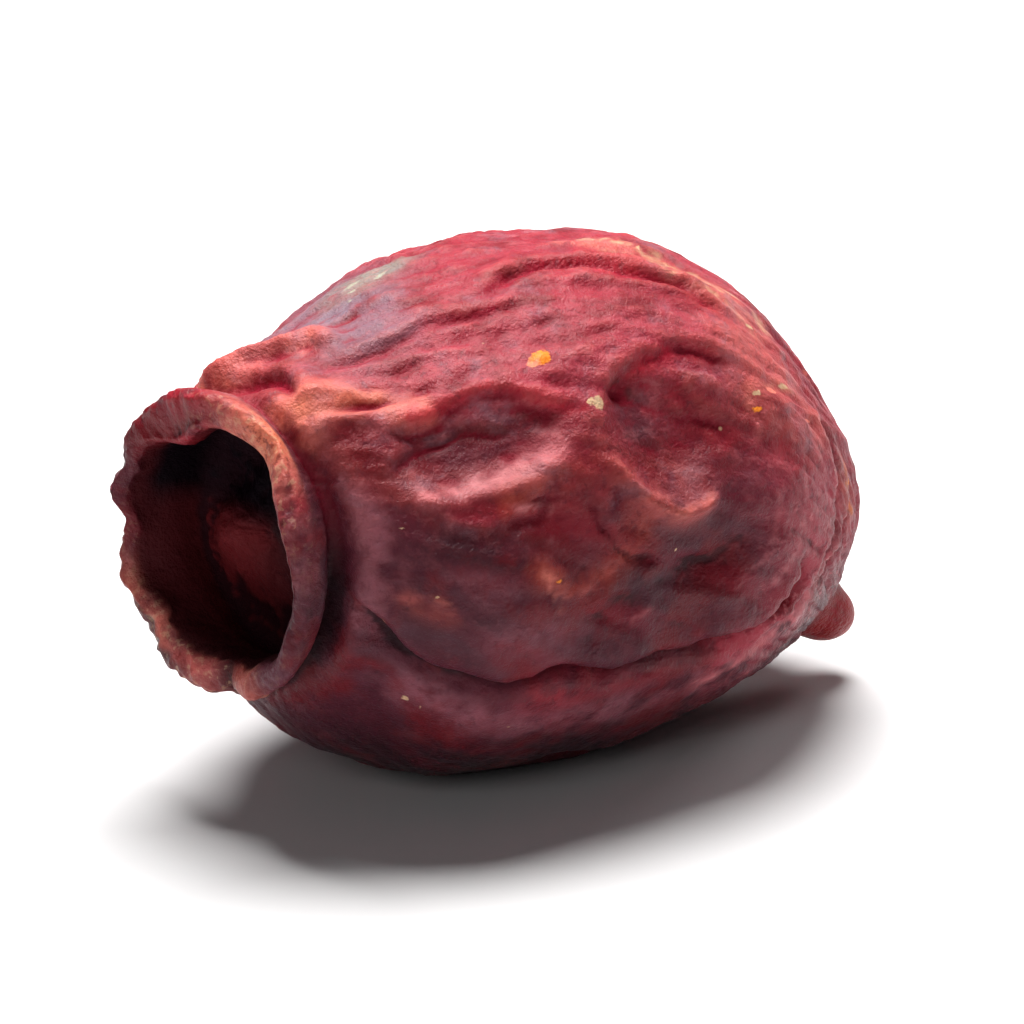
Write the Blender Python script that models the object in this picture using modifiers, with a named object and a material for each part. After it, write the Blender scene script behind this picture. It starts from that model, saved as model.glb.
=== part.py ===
# Dried hawthorn berry: one shrivelled pome, lying on its side.
# The berry lies along X, with its calyx cup at -X and its stalk nub at +X, and rests on Z = 0.
# Blender units are metres. The sizes below are in millimetres and are turned into metres at the end.

import math

import bmesh
import bpy
import numpy as np
from mathutils import Vector, noise

MM = 0.001

# Body: an egg, fuller towards the calyx on its near and lower sides
BODY_HALF_LENGTH = 5.87
BODY_RADIUS = 4.03
LEAST_FULLNESS = 2.05
MOST_FULLNESS = 2.85
FULLEST_ANGLE = math.radians(95)
STALK_FULLNESS = 2.1
BODY_BLEND = 0.18

# Calyx collar and cup, measured from the middle of the body
RIM_X = -6.05
RIM_RADIUS = 2.38
LIP_THICKNESS = 0.46
NECK_X = -5.38
NECK_RADIUS = 2.24
CUP_DEPTH = 1.7
CUP_FLOOR_RADIUS = 1.5
FLOOR_DOME = 0.25

# Stalk nub: it stands on the pole, which has slid down and forwards round the stalk end
NUB_X = 5.3
NUB_TIP_X = 6.65
NUB_RADIUS = 0.36
NUB_FLARE = 0.42
POLE_SLIDE = math.radians(30)
SLIDE_ANGLE = math.radians(155)
SLIDE_START = 0.15

# Lie of the berry: the calyx collar is tipped up, the stalk end sags, and a flat spot carries it
COLLAR_LIFT = 0.55
LIFT_START_X = -3.2
STALK_SAG = 1.25
SAG_START_X = 1.4
FLAT_DEPTH = 0.14

# Mesh density: rings on each stretch of the outline, and steps round the berry
CUP_RINGS = 8
LIP_RINGS = 4
COLLAR_RINGS = 4
BODY_RINGS = 46
NUB_RINGS = 3
STEPS = 90

# Folds: grooves with a roll along one side. A point is (mm along X, degrees round X), with 0 degrees at the
# top and 90 at -Y. depth is the groove's, lip the roll's height, and width half the groove's width.
FOLDS = (
    {"name": "brow fold", "depth": 0.38, "lip": 0.36, "width": 0.25,
     "points": ((-4.6, 52), (-3.9, 48), (-3.3, 46), (-2.7, 46), (-2.2, 48), (-1.7, 54), (-1.2, 57))},
    {"name": "eye fold", "depth": 0.32, "lip": 0.22, "width": 0.25,
     "points": ((-0.9, 53), (-0.4, 49), (0.3, 48), (1.0, 49), (1.6, 51), (2.2, 56))},
    {"name": "belly fold", "depth": 0.54, "lip": 0.30, "width": 0.26,
     "points": ((-5.0, 103), (-4.6, 110), (-4.2, 112), (-3.7, 112), (-3.2, 111), (-2.6, 110), (-1.5, 109),
                (-0.4, 111), (0.7, 111), (1.6, 111), (2.4, 109), (2.9, 104))},
    {"name": "belly crease", "depth": 0.26, "lip": 0.10, "width": 0.20,
     "points": ((-1.9, 100), (-1.3, 96), (-0.6, 94), (0.1, 92), (0.8, 91), (1.5, 88))},
    {"name": "neck fold", "depth": 0.42, "lip": 0.26, "width": 0.22,
     "points": ((-5.4, 42), (-5.4, 58), (-5.35, 75), (-5.3, 90), (-5.25, 105), (-5.2, 122), (-5.2, 140))},
    {"name": "top groove", "depth": 0.17, "lip": 0.06, "width": 0.20,
     "points": ((-4.3, 13), (-3.6, 18), (-3.1, 19), (-2.4, 20), (-1.9, 23), (-1.0, 27), (-0.2, 33))},
    {"name": "long top groove", "depth": 0.20, "lip": 0.12, "width": 0.22,
     "points": ((-2.0, 19), (-1.2, 15), (-0.6, 14), (0.1, 16), (0.7, 20), (1.5, 26), (2.2, 31), (2.8, 38))},
    {"name": "collar crease", "depth": 0.20, "lip": 0.06, "width": 0.20,
     "points": ((-5.3, -42), (-5.2, -20), (-5.1, -5), (-4.9, 8), (-4.6, 17))},
    {"name": "heel groove", "depth": 0.16, "lip": 0.06, "width": 0.26,
     "points": ((-1.6, 150), (0.0, 154), (1.6, 148), (3.0, 138))},
    {"name": "back fold", "depth": 0.42, "lip": 0.24, "width": 0.28,
     "points": ((4.0, 292), (3.0, 288), (1.8, 290), (0.5, 300), (-0.8, 304), (-2.0, 297), (-3.2, 290), (-4.3, 296))},
    {"name": "back lower fold", "depth": 0.34, "lip": 0.16, "width": 0.26,
     "points": ((3.6, 262), (2.6, 252), (1.4, 246), (0.0, 250), (-1.2, 257), (-2.4, 258), (-3.8, 250))},
    {"name": "back top groove", "depth": 0.20, "lip": 0.10, "width": 0.22,
     "points": ((3.6, 342), (2.6, 336), (1.2, 328), (-0.2, 325), (-1.4, 332), (-2.4, 340))},
    {"name": "back heel groove", "depth": 0.24, "lip": 0.08, "width": 0.24,
     "points": ((2.4, 222), (1.2, 214), (-0.4, 220), (-2.0, 216), (-3.4, 224))},
)

# The share of a fold's length over which it dies away at each end
FOLD_FADE = 0.2

# Ridges: narrow rolls that stand up between the hollows
RIDGES = (
    {"name": "lower lip", "depth": -0.26, "lip": 0.0, "width": 0.26,
     "points": ((-4.4, 65), (-3.8, 68), (-3.3, 67), (-2.7, 65), (-2.2, 61), (-1.6, 57))},
    {"name": "cheek ridge", "depth": -0.28, "lip": 0.0, "width": 0.24,
     "points": ((-1.4, 60), (-0.9, 68), (-0.5, 75), (0.0, 79), (0.5, 78), (1.0, 74))},
    {"name": "small cheek ridge", "depth": -0.13, "lip": 0.0, "width": 0.20,
     "points": ((-2.7, 80), (-2.3, 87), (-2.0, 89), (-1.6, 85))},
    {"name": "coral ridge", "depth": -0.20, "lip": 0.0, "width": 0.24,
     "points": ((-5.3, 18), (-4.9, 22), (-4.5, 24), (-4.0, 26))},
    {"name": "lobe ridge", "depth": -0.34, "lip": 0.0, "width": 0.26,
     "points": ((-5.3, -32), (-4.9, -28), (-4.5, -23), (-4.2, -14), (-4.1, -5), (-4.3, 2))},
    {"name": "rim ridge", "depth": -0.26, "lip": 0.0, "width": 0.28,
     "points": ((-5.7, -58), (-5.1, -52), (-4.4, -46), (-3.8, -42))},
    {"name": "back ridge", "depth": -0.28, "lip": 0.0, "width": 0.30,
     "points": ((-3.2, 272), (-2.2, 277), (-1.2, 281), (-0.2, 282), (0.8, 274))},
)

# Hollows: sunken ovals, and bulges where the depth is below zero. A size is (mm along X, mm round X).
HOLLOWS = (
    {"name": "mouth hollow", "centre": (-3.2, 57), "size": (1.25, 0.62), "depth": 0.36},
    {"name": "eye hollow", "centre": (-0.1, 61), "size": (1.0, 0.95), "depth": 0.42},
    {"name": "eye slope", "centre": (1.3, 66), "size": (1.1, 0.8), "depth": 0.14},
    {"name": "belly pit", "centre": (0.5, 88), "size": (1.2, 0.65), "depth": 0.30},
    {"name": "island", "centre": (-3.5, 90), "size": (1.4, 1.1), "depth": -0.18},
    {"name": "heel bulge", "centre": (-4.7, 183), "size": (1.0, 1.8), "depth": -0.34},
    {"name": "slit", "centre": (-4.15, 32), "size": (0.5, 0.22), "depth": 0.22},
    {"name": "pocket", "centre": (-4.75, -9), "size": (0.42, 0.5), "depth": 0.14},
    {"name": "back hollow", "centre": (-1.9, 268), "size": (1.7, 0.9), "depth": 0.40},
    {"name": "back small hollow", "centre": (1.9, 270), "size": (1.3, 0.9), "depth": 0.34},
    {"name": "back top hollow", "centre": (-2.6, 318), "size": (1.3, 0.8), "depth": 0.20},
    {"name": "crown hollow", "centre": (1.0, 352), "size": (1.5, 0.8), "depth": 0.12},
    {"name": "stalk hollow", "centre": (3.6, 40), "size": (1.2, 1.0), "depth": 0.14},
)

# Wrinkles: many shallow ones, drawn out along the berry and gathered at both ends
WRINKLE_HEIGHT = 0.10
WRINKLES_ROUND = 17.0
WRINKLE_STRETCH = 0.40
WRINKLE_WARP = 0.7
LUMP_HEIGHT = 0.12
LUMP_SIZE = 2.4

# Calyx lobes: the five dried stumps that make the rim uneven, most of all on its far side
LOBES = 5
LOBE_HEIGHT = 0.07
LOBE_PHASE = math.radians(20)
RIM_WAVE = 0.022

SKIN_COLOUR = (0.190, 0.028, 0.032, 1.0)
SKIN_ROUGHNESS = 0.48


def smooth_step(value):
    value = np.clip(value, 0.0, 1.0)
    return value * value * (3.0 - 2.0 * value)


def smooth_max(a, b, blend):
    """The larger of two radii, rounded over where they cross."""
    overlap = np.clip(blend - np.abs(a - b), 0.0, None) / blend
    return np.maximum(a, b) + overlap ** 2 * blend / 4.0


def body_radius(x, calyx_fullness=LEAST_FULLNESS):
    fullness = np.where(x < 0.0, calyx_fullness, STALK_FULLNESS)
    share = np.clip(np.abs(x) / BODY_HALF_LENGTH, 0.0, 1.0)
    return BODY_RADIUS * np.sqrt(1.0 - share ** fullness)


def collar_radius(x):
    flare = smooth_step((NECK_X - x) / (NECK_X - RIM_X))
    bare = np.where(x > NECK_X + 1.2, 0.0, NECK_RADIUS)
    return bare + (RIM_RADIUS - NECK_RADIUS) * flare


def nub_radius(x):
    return np.where(x < NUB_X - 1.0, 0.0, NUB_RADIUS + 0.8 * np.exp((NUB_X - x) / NUB_FLARE))


def outer_radius(x, calyx_fullness=LEAST_FULLNESS):
    x = np.asarray(x, float)
    radius = smooth_max(body_radius(x, calyx_fullness), collar_radius(x), BODY_BLEND)
    return np.where(x > 0.0, np.maximum(body_radius(x), np.minimum(nub_radius(x), 1.5)), radius)


def fullness_at(angle):
    """How full the calyx end is at an angle round the berry."""
    middle = (LEAST_FULLNESS + MOST_FULLNESS) / 2
    return middle + (MOST_FULLNESS - LEAST_FULLNESS) / 2 * np.cos(angle - FULLEST_ANGLE)


def evenly(points, count):
    """count points spaced evenly along a line through many close points."""
    points = np.asarray(points, float)
    steps = np.linalg.norm(np.diff(points, axis=0), axis=1)
    run = np.concatenate([[0.0], np.cumsum(steps)])
    wanted = np.linspace(0.0, run[-1], count)
    return np.stack([np.interp(wanted, run, points[:, i]) for i in range(2)], axis=1)


def berry_outline():
    """Half of the lengthwise section as (x, radius), from the cup's floor over the lip to the nub's tip."""
    fine = np.linspace(0.0, 1.0, 400)
    lip_middle = RIM_RADIUS - LIP_THICKNESS / 2
    lip_x = RIM_X + LIP_THICKNESS / 2
    floor_x = RIM_X + CUP_DEPTH
    wall_foot = CUP_FLOOR_RADIUS + 0.35
    floor = np.stack([floor_x - FLOOR_DOME * np.cos(fine * math.pi / 2) ** 2, fine * CUP_FLOOR_RADIUS], axis=1)
    corner = np.stack([
        floor_x - 0.35 * (1.0 - np.cos(fine * math.pi / 2)),
        CUP_FLOOR_RADIUS + (wall_foot - CUP_FLOOR_RADIUS) * np.sin(fine * math.pi / 2),
    ], axis=1)
    lip_inside = lip_middle - LIP_THICKNESS / 2
    wall = np.stack([
        floor_x - 0.35 + (lip_x - floor_x + 0.35) * fine,
        wall_foot + (lip_inside - wall_foot) * smooth_step(fine),
    ], axis=1)
    turn = fine * math.pi
    lip = np.stack([
        lip_x - LIP_THICKNESS / 2 * np.sin(turn),
        lip_middle - LIP_THICKNESS / 2 * np.cos(turn),
    ], axis=1)
    collar_x = np.linspace(lip_x, NECK_X + 0.1, 400)
    collar = np.stack([collar_x, outer_radius(collar_x)], axis=1)
    body_end = NUB_TIP_X - NUB_RADIUS
    body_x = (NECK_X + body_end) / 2 - (body_end - NECK_X) / 2 * np.cos(np.linspace(0.0, math.pi, 4000))
    body_x = body_x[body_x > NECK_X + 0.1]
    body = np.stack([body_x, outer_radius(body_x)], axis=1)
    end_radius = body[-1, 1]
    tip = np.stack([
        body[-1, 0] + end_radius * np.sin(fine * math.pi / 2),
        end_radius * np.cos(fine * math.pi / 2),
    ], axis=1)
    stretches = (
        (np.concatenate([floor, corner, wall]), CUP_RINGS),
        (lip, LIP_RINGS),
        (collar, COLLAR_RINGS),
        (body, BODY_RINGS),
        (tip, NUB_RINGS),
    )
    outline = [evenly(points, rings + 1)[:-1] for points, rings in stretches]
    outline.append(np.array([[body[-1, 0] + end_radius, 0.0]]))
    return np.concatenate(outline)


def turned_berry():
    """The outline turned round X by a Screw modifier, as a closed mesh with its poles merged."""
    outline = berry_outline()
    profile = bpy.data.meshes.new("outline")
    profile.from_pydata([(x, 0.0, r) for x, r in outline], [(i, i + 1) for i in range(len(outline) - 1)], [])
    guide = bpy.data.objects.new("outline", profile)
    bpy.context.scene.collection.objects.link(guide)
    screw = guide.modifiers.new("turn", "SCREW")
    screw.axis = "X"
    screw.steps = STEPS
    screw.render_steps = STEPS
    screw.use_merge_vertices = True
    screw.merge_threshold = 0.0001
    bpy.context.view_layer.update()
    mesh = bpy.data.meshes.new_from_object(guide.evaluated_get(bpy.context.evaluated_depsgraph_get()))
    bpy.data.objects.remove(guide)
    turned = bmesh.new()
    turned.from_mesh(mesh)
    bmesh.ops.remove_doubles(turned, verts=turned.verts, dist=0.0001)
    bmesh.ops.recalc_face_normals(turned, faces=turned.faces)
    turned.to_mesh(mesh)
    turned.free()
    return mesh


def swollen(places):
    """The calyx end filled out on its near and lower sides."""
    x = places[:, 0]
    angle = np.arctan2(-places[:, 1], places[:, 2])
    full = outer_radius(x, fullness_at(angle)) / outer_radius(x)
    places[:, 1:] *= np.where(x < 0.0, full, 1.0)[:, None]
    return places


def slid_pole(places):
    """The stalk pole and its nub slid round the end of the body, which keeps its shape."""
    scale = np.array([BODY_HALF_LENGTH, BODY_RADIUS, BODY_RADIUS])
    ball = places / scale
    share = smooth_step((ball[:, 0] - SLIDE_START) / (0.97 - SLIDE_START))
    turn = POLE_SLIDE * share
    side = np.array([0.0, -math.sin(SLIDE_ANGLE), math.cos(SLIDE_ANGLE)])
    sideways = ball @ side
    along = ball[:, 0] * np.cos(turn) - sideways * np.sin(turn)
    moved = ball[:, 0] * np.sin(turn) + sideways * np.cos(turn)
    ball[:, 0] = along
    ball += (moved - sideways)[:, None] * side
    return ball * scale


def on_skin(x, degrees):
    """The point of the body at x and an angle round it."""
    x = np.asarray(x, float)
    turn = np.radians(degrees)
    radius = outer_radius(x, fullness_at(turn))
    return np.stack([x, -radius * np.sin(turn), radius * np.cos(turn)], axis=-1)


def fold_path(points, count=160):
    """A smooth line on the skin through a fold's points, by a Catmull-Rom curve in x and angle."""
    knots = np.asarray(points, float)
    knots = np.concatenate([[2 * knots[0] - knots[1]], knots, [2 * knots[-1] - knots[-2]]])
    spans = len(points) - 1
    where = np.linspace(0.0, spans - 1e-6, count)
    span = where.astype(int)
    t = (where - span)[:, None]
    a, b, c, d = (knots[span + i] for i in range(4))
    curve = 0.5 * (2 * b + (c - a) * t + (2 * a - 5 * b + 4 * c - d) * t ** 2 + (3 * b - a - 3 * c + d) * t ** 3)
    return on_skin(curve[:, 0], curve[:, 1])


def fold_heights(fold, places, normals):
    """How far one fold moves each place along its normal: a groove with a roll on its upper side."""
    path = fold_path(fold["points"])
    away = np.linalg.norm(places[:, None, :] - path[None, :, :], axis=2)
    nearest = away.argmin(axis=1)
    distance = away[np.arange(len(places)), nearest]
    along = np.gradient(path, axis=0)[nearest]
    across = np.cross(normals, along)
    side = np.sign(np.einsum("ij,ij->i", places - path[nearest], across))
    share = nearest / (len(path) - 1)
    fade = smooth_step(np.minimum(share, 1.0 - share) / FOLD_FADE)
    width = fold["width"]
    groove = np.exp(-(distance / width) ** 2)
    roll = np.exp(-((side * distance - 1.9 * width) / (1.3 * width)) ** 2)
    return fade * (fold["lip"] * roll - fold["depth"] * groove)


def hollow_heights(hollow, places):
    """How far one sunken oval lowers each place."""
    x, degrees = hollow["centre"]
    centre = on_skin(x, degrees)
    turn = math.radians(degrees)
    round_way = np.array([0.0, -math.cos(turn), -math.sin(turn)])
    offset = places - centre
    along = offset[:, 0] / hollow["size"][0]
    across = offset @ round_way / hollow["size"][1]
    outwards = offset @ np.array([0.0, -math.sin(turn), math.cos(turn)])
    same_side = outwards > -BODY_RADIUS
    return -hollow["depth"] * smooth_step(1.35 - np.hypot(along, across)) * same_side


def wrinkle_height(x, y, z):
    """Long wrinkles that gather at both ends, over broad lumps."""
    radius = math.hypot(y, z)
    if radius < 1e-6:
        return 0.0
    reach = WRINKLES_ROUND / (2 * math.pi)
    warp = noise.noise(Vector((x * 0.5, y * 0.5, z * 0.5)) + Vector((7.1, 0.0, 3.3))) * WRINKLE_WARP
    spot = Vector((
        x * WRINKLE_STRETCH + warp,
        y / radius * reach + warp,
        z / radius * reach - warp,
    ))
    crests = 1.0 - 2.4 * abs(noise.noise(spot))
    lumps = noise.noise(Vector((x, y, z)) / LUMP_SIZE + Vector((1.7, 4.2, 9.9)))
    return WRINKLE_HEIGHT * crests + LUMP_HEIGHT * lumps


def shrivel(mesh):
    """Folds, hollows, wrinkles and calyx lobes, as moves of the turned mesh's points along their normals."""
    count = len(mesh.vertices)
    places = np.empty(count * 3)
    mesh.vertices.foreach_get("co", places)
    places = places.reshape(-1, 3)
    x = places[:, 0].copy()
    radius = np.hypot(places[:, 1], places[:, 2])
    angle = np.arctan2(-places[:, 1], places[:, 2])
    outside = smooth_step((radius - outer_radius(x) + 0.25) / 0.2)
    on_body = outside * smooth_step((x - NECK_X + 0.25) / 0.35)
    wrinkled = outside * smooth_step((x - NECK_X) / 0.9)
    off_nub = smooth_step((NUB_X + 0.2 - x) / 0.9)

    places = slid_pole(swollen(places))
    mesh.vertices.foreach_set("co", places.ravel())
    mesh.update()
    normals = np.empty(count * 3)
    mesh.vertex_normals.foreach_get("vector", normals)
    normals = normals.reshape(-1, 3)

    heights = np.zeros(count)
    for fold in FOLDS + RIDGES:
        heights += fold_heights(fold, places, normals)
    for hollow in HOLLOWS:
        heights += hollow_heights(hollow, places)
    wrinkles = np.array([wrinkle_height(*place) for place in places])
    heights = off_nub * (on_body * heights + wrinkled * wrinkles)
    moved = places + normals * heights[:, None]

    near_rim = smooth_step((NECK_X - x) / (NECK_X - RIM_X))
    lobes = np.cos(LOBES * angle + LOBE_PHASE) + 0.6 * np.cos(3 * angle + 2.1)
    moved[:, 0] -= near_rim * LOBE_HEIGHT * lobes
    swell = 1.0 + near_rim * RIM_WAVE * (np.cos(2 * angle + 0.6) + 0.4 * np.cos(5 * angle))
    moved[:, 1:] *= swell[:, None]
    return laid_down(moved)


def laid_down(places):
    """The collar tipped up and the stalk end sagged."""
    x = places[:, 0]
    places[:, 2] += COLLAR_LIFT * smooth_step((LIFT_START_X - x) / (LIFT_START_X - NECK_X))
    places[:, 2] -= STALK_SAG * np.clip((x - SAG_START_X) / (BODY_HALF_LENGTH - SAG_START_X), 0.0, 1.2) ** 1.8
    return places


def set_on_table(places):
    """A small flat spot where the berry rests, with the origin under the middle of its box."""
    table = places[:, 2].min() + FLAT_DEPTH
    places[:, 2] = np.maximum(places[:, 2], table) - table
    places[:, :2] -= (places[:, :2].max(axis=0) + places[:, :2].min(axis=0)) / 2
    return places


def skin_material():
    material = bpy.data.materials.new("dried_skin")
    material.use_nodes = True
    shader = material.node_tree.nodes["Principled BSDF"]
    shader.inputs["Base Color"].default_value = SKIN_COLOUR
    shader.inputs["Roughness"].default_value = SKIN_ROUGHNESS
    shader.inputs["Metallic"].default_value = 0.0
    return material


def main():
    for old in list(bpy.data.objects):
        bpy.data.objects.remove(old)
    collection = bpy.data.collections.new("hawthorn_berry")
    bpy.context.scene.collection.children.link(collection)
    mesh = turned_berry()
    places = set_on_table(shrivel(mesh)) * MM
    mesh.vertices.foreach_set("co", places.ravel())
    mesh.update()
    mesh.shade_smooth()
    mesh.materials.clear()
    mesh.materials.append(skin_material())
    mesh.name = "berry"
    collection.objects.link(bpy.data.objects.new("berry", mesh))


main()
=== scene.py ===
import math

import bpy
import numpy as np
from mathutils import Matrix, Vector, noise


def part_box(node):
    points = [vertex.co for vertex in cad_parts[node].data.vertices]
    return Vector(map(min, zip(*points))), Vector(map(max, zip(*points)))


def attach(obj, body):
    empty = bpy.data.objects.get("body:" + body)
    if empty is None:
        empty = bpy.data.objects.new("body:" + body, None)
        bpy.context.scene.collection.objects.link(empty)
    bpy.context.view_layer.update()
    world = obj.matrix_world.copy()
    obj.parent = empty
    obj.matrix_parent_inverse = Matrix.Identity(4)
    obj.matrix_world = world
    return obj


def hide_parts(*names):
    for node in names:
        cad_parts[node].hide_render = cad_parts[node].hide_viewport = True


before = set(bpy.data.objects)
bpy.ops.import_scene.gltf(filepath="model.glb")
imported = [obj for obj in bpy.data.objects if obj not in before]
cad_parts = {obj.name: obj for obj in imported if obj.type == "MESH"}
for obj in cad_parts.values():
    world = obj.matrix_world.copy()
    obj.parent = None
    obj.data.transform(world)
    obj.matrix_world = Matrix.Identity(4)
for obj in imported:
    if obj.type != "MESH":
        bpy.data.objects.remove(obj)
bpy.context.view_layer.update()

# One dried hawthorn berry on a pale table. Settings are in millimetres and degrees, the scene is in metres.
# The berry lies along X, calyx cup at -X. Angles go round X: 0 at the top, 90 on the near side (-Y).
mm = 0.001


def report(text):
    print("berry:", text)


def ease(value):
    value = clamp(value)
    return value * value * (3 - 2 * value)


def bell(value):
    return np.exp(-value ** 2)


def clamp(value):
    return np.clip(value, 0, 1)


def lumpsAt(places, size, roughness, step, octaves):
    return np.array([noise.fractal(Vector(place) / size, roughness, step, octaves) for place in places])


# the plain berry, before it shrivels
body = {
    "halfLength": 5.87,
    "radius": 4.03,
    "leastFull": 2.05,  # roundness of the calyx end on its slimmest side
    "mostFull": 2.85,
    "fullestAngle": 95,
    "stalkFull": 2.1,
    "neckBlend": 0.18,
    "rimX": -6.05,
    "rimRadius": 2.38,
    "lip": 0.46,
    "neckX": -5.38,
    "neckRadius": 2.24,
    "cupDepth": 1.7,
    "cupEndX": -4,  # everything of the cup lies before it
    "floorRadius": 1.5,
    "floorDome": 0.25,
    "floorCorner": 0.35,
    "collarReach": 1.2,  # how far past the neck the collar's outline is followed
    "stalkX": 4,  # the skin round the nub starts here
    "nubX": 5.3,
    "nubTipX": 6.5,
    "nubRadius": 0.36,
    "nubFlare": 0.62,
    "nubFoot": 0.8,  # how much wider the nub is where it starts
    "nubWidest": 1.5,
    "nubReach": 1,
    "poleSlide": 30,
    "slideAngle": 155,
    "slideStart": 0.15,
    "slideEnd": 0.97,
    "collarLift": 0.55,
    "liftStartX": -3.2,
    "stalkSag": 1.25,
    "sagStartX": 1.4,
    "sagCurve": 1.8,
    "ringPoints": 96,
    "rings": {"floor": 5, "wall": 4, "lip": 6, "collar": 4, "skin": 39, "nub": 4},
    "smoothing": 2,  # subdivision levels on the ring cage
}
lipMiddle = body["rimRadius"] - body["lip"] / 2


def bodyRadius(x, full):
    share = clamp(np.abs(x) / body["halfLength"])
    return body["radius"] * np.sqrt(1 - share ** np.where(x < 0, full, body["stalkFull"]))


def outerRadius(x, full=body["leastFull"]):
    x = np.asarray(x, float)
    skin = bodyRadius(x, full)
    flare = ease((body["neckX"] - x) / (body["neckX"] - body["rimX"]))
    collar = np.where(x > body["neckX"] + body["collarReach"], 0, body["neckRadius"])
    collar = collar + (body["rimRadius"] - body["neckRadius"]) * flare
    overlap = np.clip(body["neckBlend"] - np.abs(skin - collar), 0, None) / body["neckBlend"]
    front = np.maximum(skin, collar) + overlap ** 2 * body["neckBlend"] / 4
    nub = body["nubRadius"] + body["nubFoot"] * np.exp((body["nubX"] - x) / body["nubFlare"])
    nub = np.where(x < body["nubX"] - body["nubReach"], 0, np.minimum(nub, body["nubWidest"]))
    return np.where(x > 0, np.maximum(bodyRadius(x, body["leastFull"]), nub), front)


def fullAt(angle):
    middle = (body["leastFull"] + body["mostFull"]) / 2
    swing = (body["mostFull"] - body["leastFull"]) / 2
    return middle + swing * np.cos(angle - math.radians(body["fullestAngle"]))


def runAlong(points):
    return np.concatenate([[0], np.cumsum(np.linalg.norm(np.diff(points, axis=0), axis=1))])


def evenly(points, count):
    run = runAlong(points)
    wanted = np.linspace(0, run[-1], count)
    return np.stack([np.interp(wanted, run, points[:, i]) for i in range(2)], axis=1)


def paired(x, radius):
    return np.stack([x, radius], axis=1)


def skinOutline():
    endX = body["nubTipX"] - body["nubRadius"]
    startX = body["neckX"] + 0.1
    x = (startX + endX) / 2 - (endX - startX) / 2 * np.cos(np.linspace(0, math.pi, 4000))
    return paired(x, outerRadius(x))


def ringStations():
    # rings as (x, radius): cup floor, cup wall, lip, collar, skin and nub
    fine = np.linspace(0, 1, 400)
    quarter = fine * math.pi / 2
    lipHalf = body["lip"] / 2
    lipX = body["rimX"] + lipHalf
    lipInside = lipMiddle - lipHalf
    floorX = body["rimX"] + body["cupDepth"]
    corner = body["floorCorner"]
    wallFoot = body["floorRadius"] + corner
    floor = paired(floorX - body["floorDome"] * np.cos(quarter) ** 2, fine * body["floorRadius"])
    cornerX = floorX - corner * (1 - np.cos(quarter))
    bend = paired(cornerX, body["floorRadius"] + corner * np.sin(quarter))
    wallX = floorX - corner + (lipX - floorX + corner) * fine
    wall = paired(wallX, wallFoot + (lipInside - wallFoot) * ease(fine))
    turn = fine * math.pi
    lip = paired(lipX - lipHalf * np.sin(turn), lipMiddle - lipHalf * np.cos(turn))
    collarX = np.linspace(lipX, body["neckX"] + 0.1, 400)
    collar = paired(collarX, outerRadius(collarX))
    skin = skinOutline()
    endX, endRadius = skin[-1]
    tip = paired(endX + endRadius * np.sin(quarter), endRadius * np.cos(quarter))
    stretches = {"floor": np.concatenate([floor, bend]), "wall": wall, "lip": lip, "collar": collar,
                 "skin": skin, "nub": tip}
    rings = [evenly(stretches[name], count + 1)[:-1] for name, count in body["rings"].items()]
    return np.concatenate(rings)[1:], floorX - body["floorDome"], endX + endRadius


def extrudeAlong(distance):
    bpy.ops.mesh.extrude_region_move(TRANSFORM_OT_translate={"value": (distance * mm, 0, 0)})


def buildCage():
    # a circle at the cup's floor, extruded ring by ring over the lip and along the berry, closed at both ends
    rings, floorX, tipX = ringStations()
    startX, startRadius = rings[0]
    bpy.ops.object.select_all(action="DESELECT")
    bpy.ops.mesh.primitive_circle_add(vertices=body["ringPoints"], radius=startRadius * mm,
                                      location=(startX * mm, 0, 0), rotation=(0, math.radians(90), 0))
    cage = bpy.context.active_object
    cage.name = "hawthornBerry"
    cage.data.name = "hawthornBerry"
    bpy.ops.object.transform_apply(location=True, rotation=True, scale=True)
    bpy.ops.object.mode_set(mode="EDIT")
    bpy.ops.mesh.select_all(action="SELECT")
    oldX, oldRadius = startX, startRadius
    for x, radius in rings[1:]:
        extrudeAlong(x - oldX)
        growth = radius / oldRadius
        bpy.ops.transform.resize(value=(1, growth, growth), center_override=(x * mm, 0, 0))
        oldX, oldRadius = x, radius
    extrudeAlong(tipX - oldX)
    bpy.ops.mesh.merge(type="CENTER")
    bpy.ops.object.mode_set(mode="OBJECT")
    for point in cage.data.vertices:
        place = point.co / mm
        point.select = abs(place.x - startX) < 1e-4 and abs(place.yz.length - startRadius) < 1e-3
    bpy.ops.object.mode_set(mode="EDIT")
    extrudeAlong(floorX - startX)
    bpy.ops.mesh.merge(type="CENTER")
    bpy.ops.mesh.select_all(action="SELECT")
    bpy.ops.mesh.normals_make_consistent(inside=False)
    bpy.ops.object.mode_set(mode="OBJECT")
    smooth = cage.modifiers.new("smooth", "SUBSURF")
    smooth.levels = body["smoothing"]
    smooth.render_levels = body["smoothing"]
    bpy.ops.object.modifier_apply(modifier=smooth.name)
    return cage


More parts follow.
